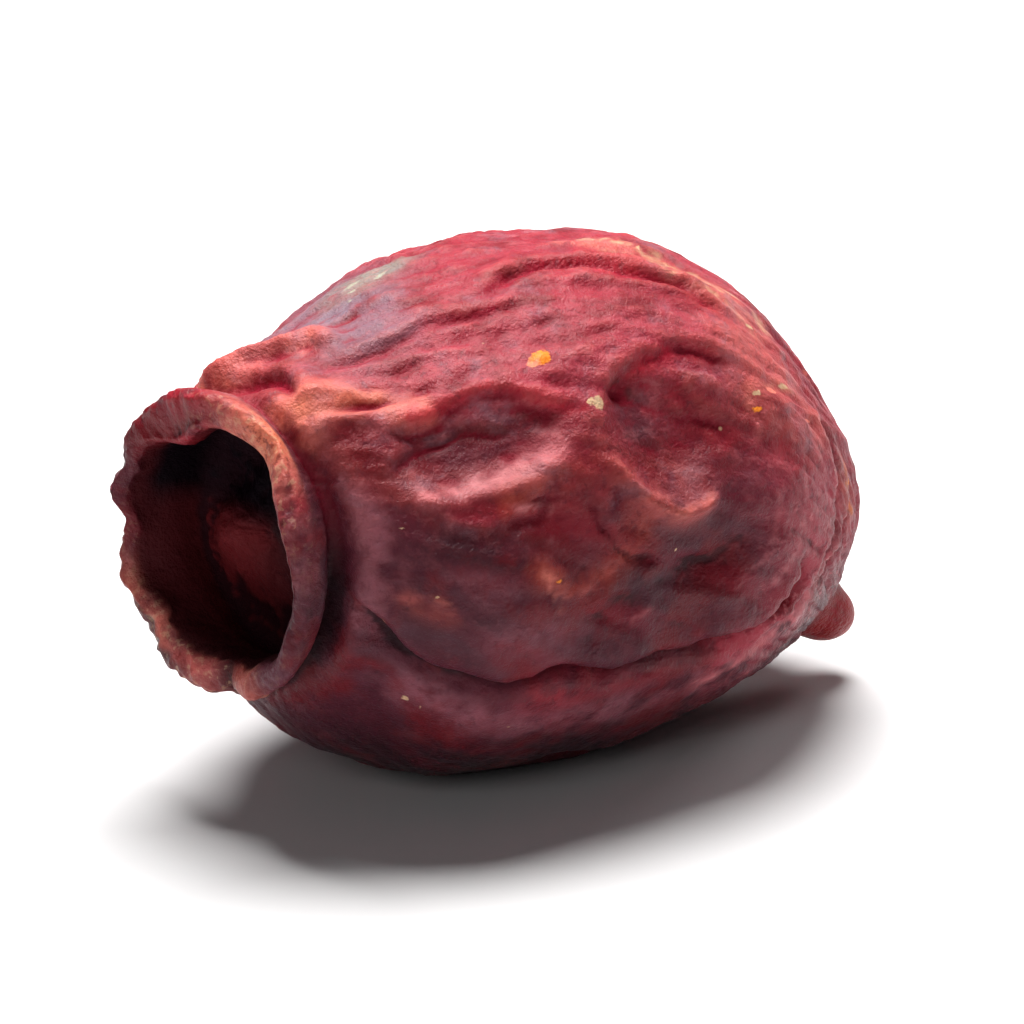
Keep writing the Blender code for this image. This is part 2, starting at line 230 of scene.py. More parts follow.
# folds, ridges and hollows of the skin
# A fold is (depth, lip, width, lean, slope, fade, points). lip is the height of the roll on the groove's
# upper side, width half the groove's width, lean how far the roll bends over the groove, slope how many times
# wider the groove is on its lower side, and fade the share of its length over which it dies away at each end.
# A point is (mm along X, degrees round X).
folds = {
    "brow": (0.16, 0.1, 0.12, 0.08, 3, 0.25, ((-4.3, 46), (-4, 43), (-3.6, 41), (-2.9, 40), (-2.4, 41),
        (-2, 45), (-1.6, 50), (-1, 53))),
    "eye": (0.07, 0.04, 0.11, 0.03, 2.8, 0.25, ((-0.9, 52), (-0.5, 48), (0.1, 45), (0.7, 44), (1.25, 45),
        (1.7, 47), (2, 50))),
    "belly": (0.4, 0.1, 0.15, 0.13, 1.7, 0.12, ((-5.2, 97), (-4.95, 101), (-4.7, 107), (-4.4, 111),
        (-4.1, 113), (-3.7, 112), (-3.2, 111), (-2.5, 110), (-1.5, 110), (-0.4, 112), (0.7, 113), (1.6, 112),
        (2.2, 109), (2.6, 103), (2.8, 96))),
    "bellyCrease": (0.08, 0.03, 0.2, 0.02, 1, 0.2, ((-2, 99), (-1.3, 96), (-0.6, 94), (0.1, 93), (0.8, 91),
        (1.5, 88))),
    "top": (0.1, 0.04, 0.11, 0.02, 1, 0.2, ((-4.4, 9), (-3.9, 15), (-3.5, 16), (-3.05, 16), (-2.4, 17),
        (-1.9, 19), (-1.3, 20))),
    "longTop": (0.13, 0.07, 0.12, 0.04, 1, 0.2, ((-1.8, 16), (-1.4, 14), (-0.9, 12), (-0.3, 11), (0.3, 13),
        (0.7, 17), (1.3, 22), (1.8, 26), (2.1, 31), (2.5, 36))),
    "collar": (0.2, 0.06, 0.2, 0.03, 1, 0.2, ((-5.3, -42), (-5.12, -20), (-4.98, -5), (-4.84, 8), (-4.86, 20),
        (-5.1, 30))),
    "heel": (0.16, 0.06, 0.26, 0, 1, 0.2, ((-1.6, 150), (0, 154), (1.6, 148), (3, 138))),
    "back": (0.42, 0.24, 0.28, 0.18, 1, 0.2, ((4, 292), (3, 288), (1.8, 290), (0.5, 300), (-0.8, 304),
        (-2, 297), (-3.2, 290), (-4.3, 296))),
    "backLower": (0.34, 0.16, 0.26, 0.12, 1, 0.2, ((3.6, 262), (2.6, 252), (1.4, 246), (0, 250), (-1.2, 257),
        (-2.4, 258), (-3.8, 250))),
    "backTop": (0.17, 0.06, 0.22, 0.04, 1, 0.2, ((3.6, 338), (2.6, 332), (1.2, 324), (-0.2, 320), (-1.4, 323),
        (-2.4, 326))),
    "backHeel": (0.24, 0.08, 0.24, 0.05, 1, 0.2, ((2.4, 222), (1.2, 214), (-0.4, 220), (-2, 216),
        (-3.4, 224))),
    "lid": (0.06, 0.03, 0.09, 0.03, 1, 0.2, ((-4.5, 60), (-4.25, 53), (-3.8, 48), (-3.3, 46), (-2.8, 47),
        (-2.3, 51))),
    "underLip": (0.04, 0, 0.14, 0, 1, 0.2, ((-4.5, 70), (-3.9, 74), (-3.2, 74), (-2.5, 72), (-1.9, 67))),
    "eyeLine": (0.06, 0.03, 0.1, 0.03, 1, 0.2, ((0.5, 51), (0.85, 56), (1.15, 62), (1.4, 68))),
    "cheekLine": (0.06, 0.02, 0.1, 0.02, 1, 0.2, ((-1.7, 68), (-1.5, 76), (-1.1, 84), (-0.4, 87))),
    "bandLine": (0.09, 0.04, 0.13, 0.03, 1, 0.2, ((2.6, 116), (3.3, 106), (3.8, 94), (4.1, 80), (4.1, 66),
        (3.8, 52))),
    "bandLineTwo": (0.08, 0.04, 0.12, 0.02, 1, 0.2, ((1.8, 121), (2.8, 115), (3.7, 106), (4.4, 92),
        (4.7, 76))),
}

# a ridge is (height, half width, points)
ridges = {
    "lowerLip": (0.16, 0.25, ((-4.4, 62), (-3.8, 64), (-3.3, 63), (-2.7, 63), (-2.2, 61), (-1.6, 57))),
    "cheek": (0.19, 0.17, ((-1.4, 60), (-0.9, 68), (-0.5, 75), (0, 79), (0.5, 78), (1, 74))),
    "smallCheek": (0.1, 0.13, ((-2.7, 80), (-2.3, 87), (-2, 89), (-1.6, 85))),
    "coral": (0.15, 0.22, ((-5.2, 26), (-4.9, 25), (-4.5, 26), (-4.1, 28))),
    "lobe": (0.2, 0.19, ((-5.35, -38), (-4.95, -32), (-4.6, -23), (-4.3, -14), (-4.05, -8), (-3.8, -3),
        (-3.9, 3), (-4.15, 4))),
    "rim": (0.16, 0.28, ((-5.7, -58), (-5.1, -52), (-4.4, -46), (-3.8, -42))),
    "back": (0.28, 0.3, ((-3.2, 272), (-2.2, 277), (-1.2, 281), (-0.2, 282), (0.8, 274))),
    "coralLow": (0.12, 0.15, ((-5.1, 29), (-5, 40), (-4.6, 37), (-4.1, 36))),
    "redLine": (0.07, 0.12, ((-4.2, 70), (-3.5, 71), (-2.9, 70), (-2.3, 71))),
}

# an oval is (x, degrees, size along, size round), and its depth follows: a bulge's is below zero
hollows = {
    "mouth": (-3.15, 54, 1.2, 0.66, 0.27), "eye": (0, 59, 0.95, 0.95, 0.28),
    "eyeSlope": (1.3, 66, 1.1, 0.8, 0.14), "bellyPit": (0.7, 89, 1.1, 0.6, 0.2),
    "island": (-3.5, 90, 1.4, 1.1, -0.18), "heelBulge": (-4.7, 183, 1, 1.8, -0.34),
    "pocket": (-4.6, -10, 0.36, 0.5, 0.1), "back": (-1.9, 268, 1.7, 0.9, 0.4),
    "backSmall": (1.9, 270, 1.3, 0.9, 0.34), "backTop": (-2.6, 310, 1.3, 0.8, 0.16),
    "crown": (1, 352, 1.5, 0.8, 0.12), "stalk": (3.6, 40, 1.2, 1, 0.14),
    "speck": (-1.52, 37, 0.15, 0.12, -0.06), "sole": (0.3, 180, 2.6, 2, -0.13),
}

# small pits of the top, as an oval and its depth
pits = (
    (-4.25, 33, 0.28, 0.07, 0.16), (-3.4, 25, 0.14, 0.07, 0.08), (-3.4, 33, 0.16, 0.06, 0.09),
    (-2.9, 35, 0.18, 0.06, 0.08), (-1.9, 22, 0.16, 0.07, 0.1), (-1.8, 27, 0.12, 0.06, 0.07),
    (-1.3, 21, 0.15, 0.07, 0.1), (-1, 28, 0.18, 0.07, 0.09), (-0.3, 35, 0.26, 0.05, 0.08),
    (-0.42, 49, 0.15, 0.13, 0.26), (0.6, 30, 0.2, 0.06, 0.07), (-2.4, 8, 0.22, 0.06, 0.07),
    (-0.9, 4, 0.2, 0.06, 0.07), (0.9, 12, 0.24, 0.06, 0.07), (-3.2, -2, 0.16, 0.07, 0.07),
)


def foldPath(name):
    return folds[name][-1]


def swollen(places):
    x = places[:, 0]
    angle = np.arctan2(-places[:, 1], places[:, 2])
    full = outerRadius(x, fullAt(angle)) / outerRadius(x)
    places[:, 1:] *= np.where(x < 0, full, 1)[:, None]
    return places


def slidPole(places):
    scale = np.array([body["halfLength"], body["radius"], body["radius"]])
    ball = places / scale
    share = ease((ball[:, 0] - body["slideStart"]) / (body["slideEnd"] - body["slideStart"]))
    turn = math.radians(body["poleSlide"]) * share
    slide = math.radians(body["slideAngle"])
    side = np.array([0, -math.sin(slide), math.cos(slide)])
    sideways = ball @ side
    along = ball[:, 0] * np.cos(turn) - sideways * np.sin(turn)
    moved = ball[:, 0] * np.sin(turn) + sideways * np.cos(turn)
    ball[:, 0] = along
    ball += (moved - sideways)[:, None] * side
    return ball * scale


def laidDown(places):
    x = places[:, 0]
    lift = ease((body["liftStartX"] - x) / (body["liftStartX"] - body["neckX"]))
    sag = np.clip((x - body["sagStartX"]) / (body["halfLength"] - body["sagStartX"]), 0, 1.2)
    places[:, 2] += body["collarLift"] * lift - body["stalkSag"] * sag ** body["sagCurve"]
    return places


def onSkin(x, degrees):
    x = np.asarray(x, float)
    turn = np.radians(degrees)
    radius = outerRadius(x, fullAt(turn))
    return np.stack([x, -radius * np.sin(turn), radius * np.cos(turn)], axis=-1)


def smoothPath(points, count=200):
    knots = np.asarray(points, float)
    knots = np.concatenate([[2 * knots[0] - knots[1]], knots, [2 * knots[-1] - knots[-2]]])
    where = np.linspace(0, len(points) - 1 - 1e-6, count)
    span = where.astype(int)
    t = (where - span)[:, None]
    a, b, c, d = (knots[span + i] for i in range(4))
    square, cube = 2 * a - 5 * b + 4 * c - d, 3 * b - a - 3 * c + d
    curve = 0.5 * (2 * b + (c - a) * t + square * t ** 2 + cube * t ** 3)
    return onSkin(curve[:, 0], curve[:, 1])


def alongPath(points, places, normals, reach, ends=0.2):
    # the places near a path, how far each lies to its upper side, the way up, and the fade at the path's ends
    path = smoothPath(points)
    low, high = path.min(axis=0) - reach, path.max(axis=0) + reach
    near = np.flatnonzero(((places > low) & (places < high)).all(axis=1))
    nearest = np.empty(len(near), int)
    batch = 4000
    for start in range(0, len(near), batch):
        part = places[near[start:start + batch]]
        nearest[start:start + batch] = ((part[:, None, :] - path[None]) ** 2).sum(axis=2).argmin(axis=1)
    offset = places[near] - path[nearest]
    close = np.linalg.norm(offset, axis=1) < reach
    near, nearest, offset = near[close], nearest[close], offset[close]
    upwards = np.cross(normals[near], np.gradient(path, axis=0)[nearest])
    upwards /= np.linalg.norm(upwards, axis=1)[:, None] + 1e-12
    share = nearest / (len(path) - 1)
    fade = ease(np.minimum(share, 1 - share) / ends)
    side = np.sign((offset * upwards).sum(axis=1)) * np.linalg.norm(offset, axis=1)
    return near, side, upwards, fade


def ovalDistance(oval, places):
    # 0 at an oval's middle and 1 at its edge; the far side of the berry counts as far away
    x, degrees, sizeX, sizeRound = oval
    turn = math.radians(degrees)
    offset = places - onSkin(x, degrees)
    roundWay = offset @ np.array([0, -math.cos(turn), -math.sin(turn)])
    outwards = offset @ np.array([0, -math.sin(turn), math.cos(turn)])
    farSide = np.where(outwards < -body["radius"], 99, 0)
    return np.hypot(offset[:, 0] / sizeX, roundWay / sizeRound) + farSide


# the smaller wrinkles between the folds
wrinkles = {
    "height": 0.065,
    "count": 17,  # round the berry
    "stretch": 0.4,
    "warp": 0.7,
    "lumpHeight": 0.12,
    "lumpSize": 2.4,
    "creaseSpacing": 1.15,
    "creaseDepth": 0.045,
    "fineSpacing": 0.38,
    "fineDepth": 0.02,
    "grainHeight": 0.035,
    "grainSize": 0.3,
    "wobble": 0.16,  # how far noise moves the folds sideways
    "wobbleGrain": 1.3,
    "foldVariety": 0.4,
    "drift": -0.09,  # how far the wrinkles turn round the berry, radians for each mm of its length
    "calmSpots": (  # where the skin is smoother: (x, degrees, size along, size round, share left)
        (-3.3, 54, 1.3, 0.8, 0.15), (-0.1, 60, 0.9, 0.8, 0.3), (-3.4, 90, 1.5, 1.1, 0.35),
        (-1, 125, 4.5, 1.5, 0.45), (-1, 170, 4.5, 4.5, 0.6), (0.5, 76, 1.6, 1, 0.5),
        (-4.6, 135, 1.4, 2.6, 0.15), (-4.7, 80, 1.1, 2, 0.15), (-4.6, 10, 1, 2.4, 0.15),
    ),
    "pitDepth": 0.7,  # share of each pit's own depth
    "seed": 11,
}


def broadWrinkle(x, y, z):
    radius = math.hypot(y, z)
    if radius < 1e-6:
        return 0
    reach = wrinkles["count"] / (2 * math.pi)
    warp = noise.noise(Vector((x * 0.5, y * 0.5, z * 0.5)) + Vector((7.1, 0, 3.3))) * wrinkles["warp"]
    spot = Vector((x * wrinkles["stretch"] + warp, y / radius * reach + warp, z / radius * reach - warp))
    crests = 1 - 2.4 * abs(noise.noise(spot))
    lumps = noise.noise(Vector((x, y, z)) / wrinkles["lumpSize"] + Vector((1.7, 4.2, 9.9)))
    return wrinkles["height"] * crests + wrinkles["lumpHeight"] * lumps


def wrinkleField(spacing, lengthwise, seed, fieldLength, rounds=14):
    # creases, -1 to 1, on a grid of angle by length, grown from random numbers by repeated filtering
    wide, long = 1024, 640
    roundWave = np.fft.fftfreq(wide, 2 * math.pi * body["radius"] / wide)[:, None]
    longWave = np.fft.fftfreq(long, fieldLength / long)[None, :]
    wave = np.hypot(roundWave, longWave) + 1e-9
    keep = bell((wave * spacing - 1) / 0.42)
    keep = keep * (1 - lengthwise + lengthwise * (np.abs(roundWave) / wave) ** 3)
    field = np.random.default_rng(seed).standard_normal((wide, long))
    for _ in range(rounds):
        field = np.real(np.fft.ifft2(np.fft.fft2(field) * keep))
        field = np.tanh(field / field.std() * 1.2)
    return field


def readField(field, angle, share):
    wide, long = field.shape
    u = (angle / (2 * math.pi)) % 1 * wide
    v = np.clip(share, 0, 0.998) * long
    i, j = np.floor(u).astype(int), np.floor(v).astype(int)
    du, dv = u - i, v - j
    i, nextI, nextJ = i % wide, (i + 1) % wide, (j + 1) % long
    return (field[i, j] * (1 - du) * (1 - dv) + field[nextI, j] * du * (1 - dv)
            + field[i, nextJ] * (1 - du) * dv + field[nextI, nextJ] * du * dv)


# the calyx collar and its cup; a swelling is (degrees, half width in degrees, mm forwards, mm outwards)
calyx = {
    "lobes": 5,
    "lobeHeight": 0.07,
    "lobePhase": 20,
    "rimWave": 0.022,
    # bumps and notches of the rim
    "bumps": ((303, 10, 0.03, 0.03), (288, 6, -0.06, -0.07), (275, 9, 0.05, 0.1), (263, 4, -0.04, -0.04),
              (245, 13, 0.04, 0.36), (218, 5, -0.05, -0.04), (204, 6, 0.04, 0.03), (188, 8, 0.07, 0.05),
              (171, 5, -0.12, -0.02), (155, 8, 0.06, 0.05), (132, 10, 0.02, 0.16), (108, 8, -0.03, -0.02),
              (34, 16, -0.1, 0.08), (4, 7, -0.05, -0.02)),
    # the lip's inner side: thicker where it goes inwards
    "thickness": ((-26, 22, 0, -0.42), (25, 26, 0, -0.08), (85, 34, 0, 0.1), (182, 28, 0, -0.08),
                  (228, 24, 0, 0.06), (275, 26, 0, 0.12)),
    # the gap behind the collar, deeper in places, and the berry's end swelling and leaning over it
    "gapX": -5.3, "gapWidth": 0.1, "gapLeast": 0.07,
    "gap": ((110, 26, 0, -0.36), (118, 14, 0, -0.16), (-20, 40, 0, -0.06)),
    "shoulderX": -4.95, "shoulderWidth": 0.42,
    "shoulder": ((-28, 24, 0.08, 0.03), (26, 22, 0.3, 0.18)),
    "overhangX": -4.88, "overhangWidth": 0.2,
    "overhang": ((66, 20, 0.14, 0.042), (112, 24, 0.3, 0.09)),
    "recessX": -5.2, "recessWidth": 0.1,
    "recess": ((66, 20, -0.056, 0), (112, 24, -0.12, 0)),
    # the collar's wall swelling out below the lip
    "wallX": -5.66, "wallWidth": 0.17,
    "wall": ((212, 26, 0, 0.44), (165, 20, 0, 0.12)),
    # the line inside the folded lobe
    "tuck": {"angle": -20, "spread": 26, "radius": 2.11, "width": 0.06, "depth": 0.08},
    "grain": 0.1,
    "grainSize": 0.32,
    "grainMiddle": 195,
    "grainSpread": 62,
    "pleats": 0.01,
    "pleatCount": 5,
    "beads": 0.045,  # fine lumps on the rim
    "beadSize": 0.13,
    "boss": {"angle": 250, "out": 0.95, "size": 0.8, "height": 0.6},
    "floorFolds": 0.03,
    "floorLumps": 0.07,
    "floorLumpSize": 0.35,
}


def turnedAway(degrees, middle):
    return (degrees - middle + 180) % 360 - 180


def arc(degrees, middle, width):
    return bell(turnedAway(degrees, middle) / width)


def tucked(degrees, radius):
    tuck = calyx["tuck"]
    return arc(degrees, tuck["angle"], tuck["spread"]) * bell((radius - tuck["radius"]) / tuck["width"])


def shapeCalyx(places, angle, radius, x):
    # bumps and notches of the rim, its folded lobe, pleats down the collar, and a lumpy cup
    nearRim = ease((body["neckX"] - x) / (body["neckX"] - body["rimX"]))
    rimShare = ease((-5.15 - x) / 0.6)
    inside = ease((lipMiddle + 0.06 - radius) / 0.12) * (x < body["cupEndX"])
    sin, cos, degrees = np.sin(angle), np.cos(angle), np.degrees(angle)
    lobes = np.cos(calyx["lobes"] * angle + math.radians(calyx["lobePhase"])) + 0.6 * np.cos(3 * angle + 2.1)
    forwards = nearRim * calyx["lobeHeight"] * lobes
    outwards = nearRim * radius * calyx["rimWave"] * (np.cos(2 * angle + 0.6) + 0.4 * np.cos(5 * angle))

    def swell(name, share):
        for middle, width, forward, outward in calyx[name]:
            forwards[:] += share * arc(degrees, middle, width) * forward
            outwards[:] += share * arc(degrees, middle, width) * outward

    swell("bumps", nearRim)
    swell("thickness", rimShare * inside)
    for i in np.flatnonzero((x < body["cupEndX"]) & ((radius < lipMiddle) | (x < body["neckX"] + 0.2))):
        spot = Vector((x[i], -radius[i] * sin[i], radius[i] * cos[i])) / calyx["grainSize"]
        grain = calyx["grain"] * (noise.noise(spot) + 0.35 * noise.noise(spot * 2.3))
        pleatSpot = Vector((cos[i], sin[i], x[i] * 0.1)) * calyx["pleatCount"]
        pleat = calyx["pleats"] * (1 - 2.2 * abs(noise.noise(pleatSpot)))
        coarse = 0.35 + 0.65 * arc(degrees[i], calyx["grainMiddle"], calyx["grainSpread"])
        grain *= coarse * (0.3 + 0.7 * rimShare[i])
        beadSpot = spot * calyx["grainSize"] / calyx["beadSize"]
        grain += calyx["beads"] * rimShare[i] * noise.noise(beadSpot)
        outwards[i] += 0.6 * grain + pleat * (0.4 - 1.5 * inside[i])
        forwards[i] += 0.8 * grain
    outwards -= (1 - inside) * calyx["gapLeast"] * bell((x - calyx["gapX"]) / calyx["gapWidth"])
    for name in ("gap", "shoulder", "overhang", "recess", "wall"):
        swell(name, (1 - inside) * bell((x - calyx[name + "X"]) / calyx[name + "Width"]))
    forwards -= rimShare * tucked(degrees, radius) * calyx["tuck"]["depth"]

    # the cup's floor: a boss, folds running out from the middle, and lumps
    onFloor = ease((1.95 - radius) / 0.3) * (x < body["cupEndX"]) * (x > -4.9)
    boss = calyx["boss"]
    turn = math.radians(boss["angle"])
    away = np.hypot(radius * sin - boss["out"] * math.sin(turn), radius * cos - boss["out"] * math.cos(turn))
    spokes = np.cos(7 * angle + 1.3 * np.sin(2 * angle)) * ease(radius / 1.2) * ease((2 - radius) / 0.6)
    forwards += onFloor * (boss["height"] * bell(away / boss["size"]) + calyx["floorFolds"] * spokes)
    for i in np.flatnonzero(onFloor > 0):
        spot = Vector((radius[i] * sin[i], radius[i] * cos[i], 0)) / calyx["floorLumpSize"]
        forwards[i] += onFloor[i] * calyx["floorLumps"] * noise.fractal(spot, 0.8, 2, 3)
    places[:, 0] -= forwards
    places[:, 1] -= outwards * sin
    places[:, 2] += outwards * cos
    return places


def readMesh(mesh, what, name):
    values = np.empty(len(mesh.vertices) * 3)
    what.foreach_get(name, values)
    return values.reshape(-1, 3)


def writePlaces(mesh, places):
    mesh.vertices.foreach_set("co", places.ravel())
    mesh.update()


def shrivel(mesh):
    places = readMesh(mesh, mesh.vertices, "co") / mm
    x = places[:, 0].copy()
    radius = np.hypot(places[:, 1], places[:, 2])
    angle = np.where(radius < 1e-4, 0, np.arctan2(-places[:, 1], places[:, 2]))  # a pole has no angle of its own
    outside = ease((radius - outerRadius(x) + 0.25) / 0.2)
    onBody = outside * ease((x - body["neckX"] + 0.25) / 0.35)
    wrinkled = outside * ease((x - body["neckX"]) / 0.9)
    offNub = np.where(x > body["stalkX"], ease((radius - 0.75) / 0.9), 1)

    places = slidPole(swollen(places))
    plain = places.copy()
    writePlaces(mesh, places)
    normals = readMesh(mesh, mesh.vertex_normals, "vector")

    # the broad relief, with the rolls leant over their grooves
    heights = np.zeros(len(places))
    leans = np.zeros_like(places)
    wobble = np.array([noise.noise(Vector(place) * wrinkles["wobbleGrain"]) for place in plain])
    strengthNoise = np.array([noise.noise(Vector(place) * 0.8 + Vector((3.1, 8.4, 5.5))) for place in plain])
    strength = 1 + wrinkles["foldVariety"] * strengthNoise
    for depth, lip, width, lean, slope, ends, points in folds.values():
        near, side, upwards, fade = alongPath(points, plain, normals, width * 6, ends)
        side = side + wrinkles["wobble"] * wobble[near]
        fade = fade * strength[near]
        lower = width * np.where(side < 0, slope, 1)
        roll = bell((side - 1.9 * width) / (1.3 * width))
        heights[near] += fade * (lip * roll - depth * bell(side / lower))
        leans[near] -= upwards * (fade * lean * bell((side - 1.4 * width) / (1.3 * width)))[:, None]
    for height, width, points in ridges.values():
        near, side, _, fade = alongPath(points, plain, normals, width * 4)
        side = side + wrinkles["wobble"] * wobble[near]
        heights[near] += fade * strength[near] * height * bell(side / width)
    for *oval, depth in hollows.values():
        heights -= depth * ease(1.35 - ovalDistance(oval, plain))
    calm = np.ones(len(places))
    for *oval, left in wrinkles["calmSpots"]:
        calm *= 1 - ease(1.35 - ovalDistance(oval, plain)) * (1 - left)
    broad = np.array([broadWrinkle(*place) for place in plain])
    places = plain + normals * (offNub * (onBody * heights + wrinkled * broad * (0.4 + 0.6 * calm)))[:, None]
    places += leans * (offNub * onBody)[:, None]
    writePlaces(mesh, places)
    normals = readMesh(mesh, mesh.vertex_normals, "vector")
    report("folds and hollows shaped")

    # creases between the folds, then the finest ones, both running into the stalk end
    outline = skinOutline()
    run = runAlong(outline)
    fieldLength = run[-1] * 1.02
    length = np.interp(x, outline[:, 0], run)
    twisted = angle + wrinkles["drift"] * np.clip(length, 0, 8)
    creases = wrinkleField(wrinkles["creaseSpacing"], 0.92, wrinkles["seed"], fieldLength)
    fine = wrinkleField(wrinkles["fineSpacing"], 0.75, wrinkles["seed"] + 1, fieldLength)
    uneven = ease(0.55 + 1.1 * strengthNoise)
    lowSkin = -readField(creases, twisted, length / fieldLength)
    valleys = calm * (0.35 + 0.65 * uneven) * ease((lowSkin - 0.25) / 0.65)
    fineValleys = ease((-readField(fine, twisted, length / fieldLength) - 0.1) / 0.8)
    roomy = ease((radius / body["radius"] - 0.12) / 0.5)  # less at the poles, where the creases run together
    small = -wrinkles["creaseDepth"] * valleys * (0.25 + 0.75 * roomy)
    grains = lumpsAt(plain, wrinkles["grainSize"], 0.9, 2.1, 3)
    small += wrinkles["grainHeight"] * grains * (0.4 + 0.6 * uneven) * (0.3 + 0.7 * calm)
    small -= wrinkles["fineDepth"] * fineValleys * (0.45 + 0.55 * calm) * (0.4 + 0.6 * roomy)
    for *oval, depth in pits:
        small -= wrinkles["pitDepth"] * depth * bell(0.9 * ovalDistance(oval, plain))
    places = places + normals * (small * onBody * offNub)[:, None]

    places = laidDown(shapeCalyx(places, angle, radius, x))
    report("wrinkles and calyx shaped")
    plainBerry = {"plain": plain, "x": x, "radius": radius, "angle": angle, "length": length,
                  "outside": outside, "onBody": onBody, "valleys": valleys}
    return places, plainBerry


def setOnTable(places):
    # matched to the frame's berry: box centred in X and Y, top at the same height, flat where it rests
    low, high = (np.array(corner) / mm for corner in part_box("berry"))
    shift = (low + high) / 2 - (places.min(axis=0) + places.max(axis=0)) / 2
    shift[2] = high[2] - places[:, 2].max()
    places = places + shift
    report("lowest point %.3f mm before it is laid flat" % (places[:, 2].min() - low[2]))
    places[:, 2] = np.maximum(places[:, 2], low[2])
    return places


# skin colours, as linear red, green and blue
palette = {
    "red": (0.215, 0.019, 0.028), "pink": (0.42, 0.046, 0.07), "wine": (0.08, 0.012, 0.023),
    "dark": (0.024, 0.009, 0.014), "orange": (0.76, 0.2, 0.15), "coral": (0.62, 0.135, 0.12),
    "rose": (0.6, 0.17, 0.19), "mauve": (0.15, 0.05, 0.07), "dusk": (0.27, 0.08, 0.105),
    # the near-black colour after ruby is painted shade for creases, gaps and pits
    "grey": (0.055, 0.021, 0.031), "ruby": (0.15, 0.006, 0.01), "crease": (0.014, 0.003, 0.006),
    # the last colour here is a near-black painted shadow for the cup
    "groove": (0.3, 0.004, 0.022), "crimson": (0.54, 0.016, 0.036), "cupShadow": (0.004, 0.001, 0.003),
    "yellow": (0.85, 0.25, 0.02), "cream": (0.7, 0.45, 0.27), "bloom": (0.3, 0.27, 0.24),
    # the pale pink after amber is a painted highlight
    "frost": (0.4, 0.37, 0.29), "amber": (0.86, 0.24, 0.13), "paintedHighlightPink": (0.78, 0.3, 0.31),
    # the cup's wall colour at the end of this line is painted shade, and its floor colour below is painted light
    "ember": (0.42, 0.062, 0.042), "lilac": (0.24, 0.15, 0.19), "shadedCupWall": (0.024, 0.005, 0.007),
    "litCupFloor": (0.13, 0.012, 0.015), "nub": (0.3, 0.004, 0.006),
}

painting = {
    "raggedSize": 1 / 1.9,  # mm, noise that breaks up the stains
    "fleckSize": 1 / 4.5,
    "fineRounds": 6,  # rounds of smoothing that creases are measured against
    "broadRounds": 60,
    "creases": ((0, 0.016, 0.5), (0.01, 0.13, 0.7)),  # fine and broad ones: (from, over how many mm, share)
    "ridges": ((0, 0.014, 0.5), (0.03, 0.12, 0.6)),
    "paleRim": ((1, 34, 34), (0.8, 195, 50)),  # where the rim is pale: (strength, degrees, half width)
}

# pale stains keep clear of the skin's mottling, and deep ones of its haze
paleColours = {"orange", "coral", "rose", "cream", "yellow", "bloom", "lilac", "amber", "paintedHighlightPink"}
deepColours = {"groove", "crimson", "crease", "ruby", "wine", "dark", "red"}

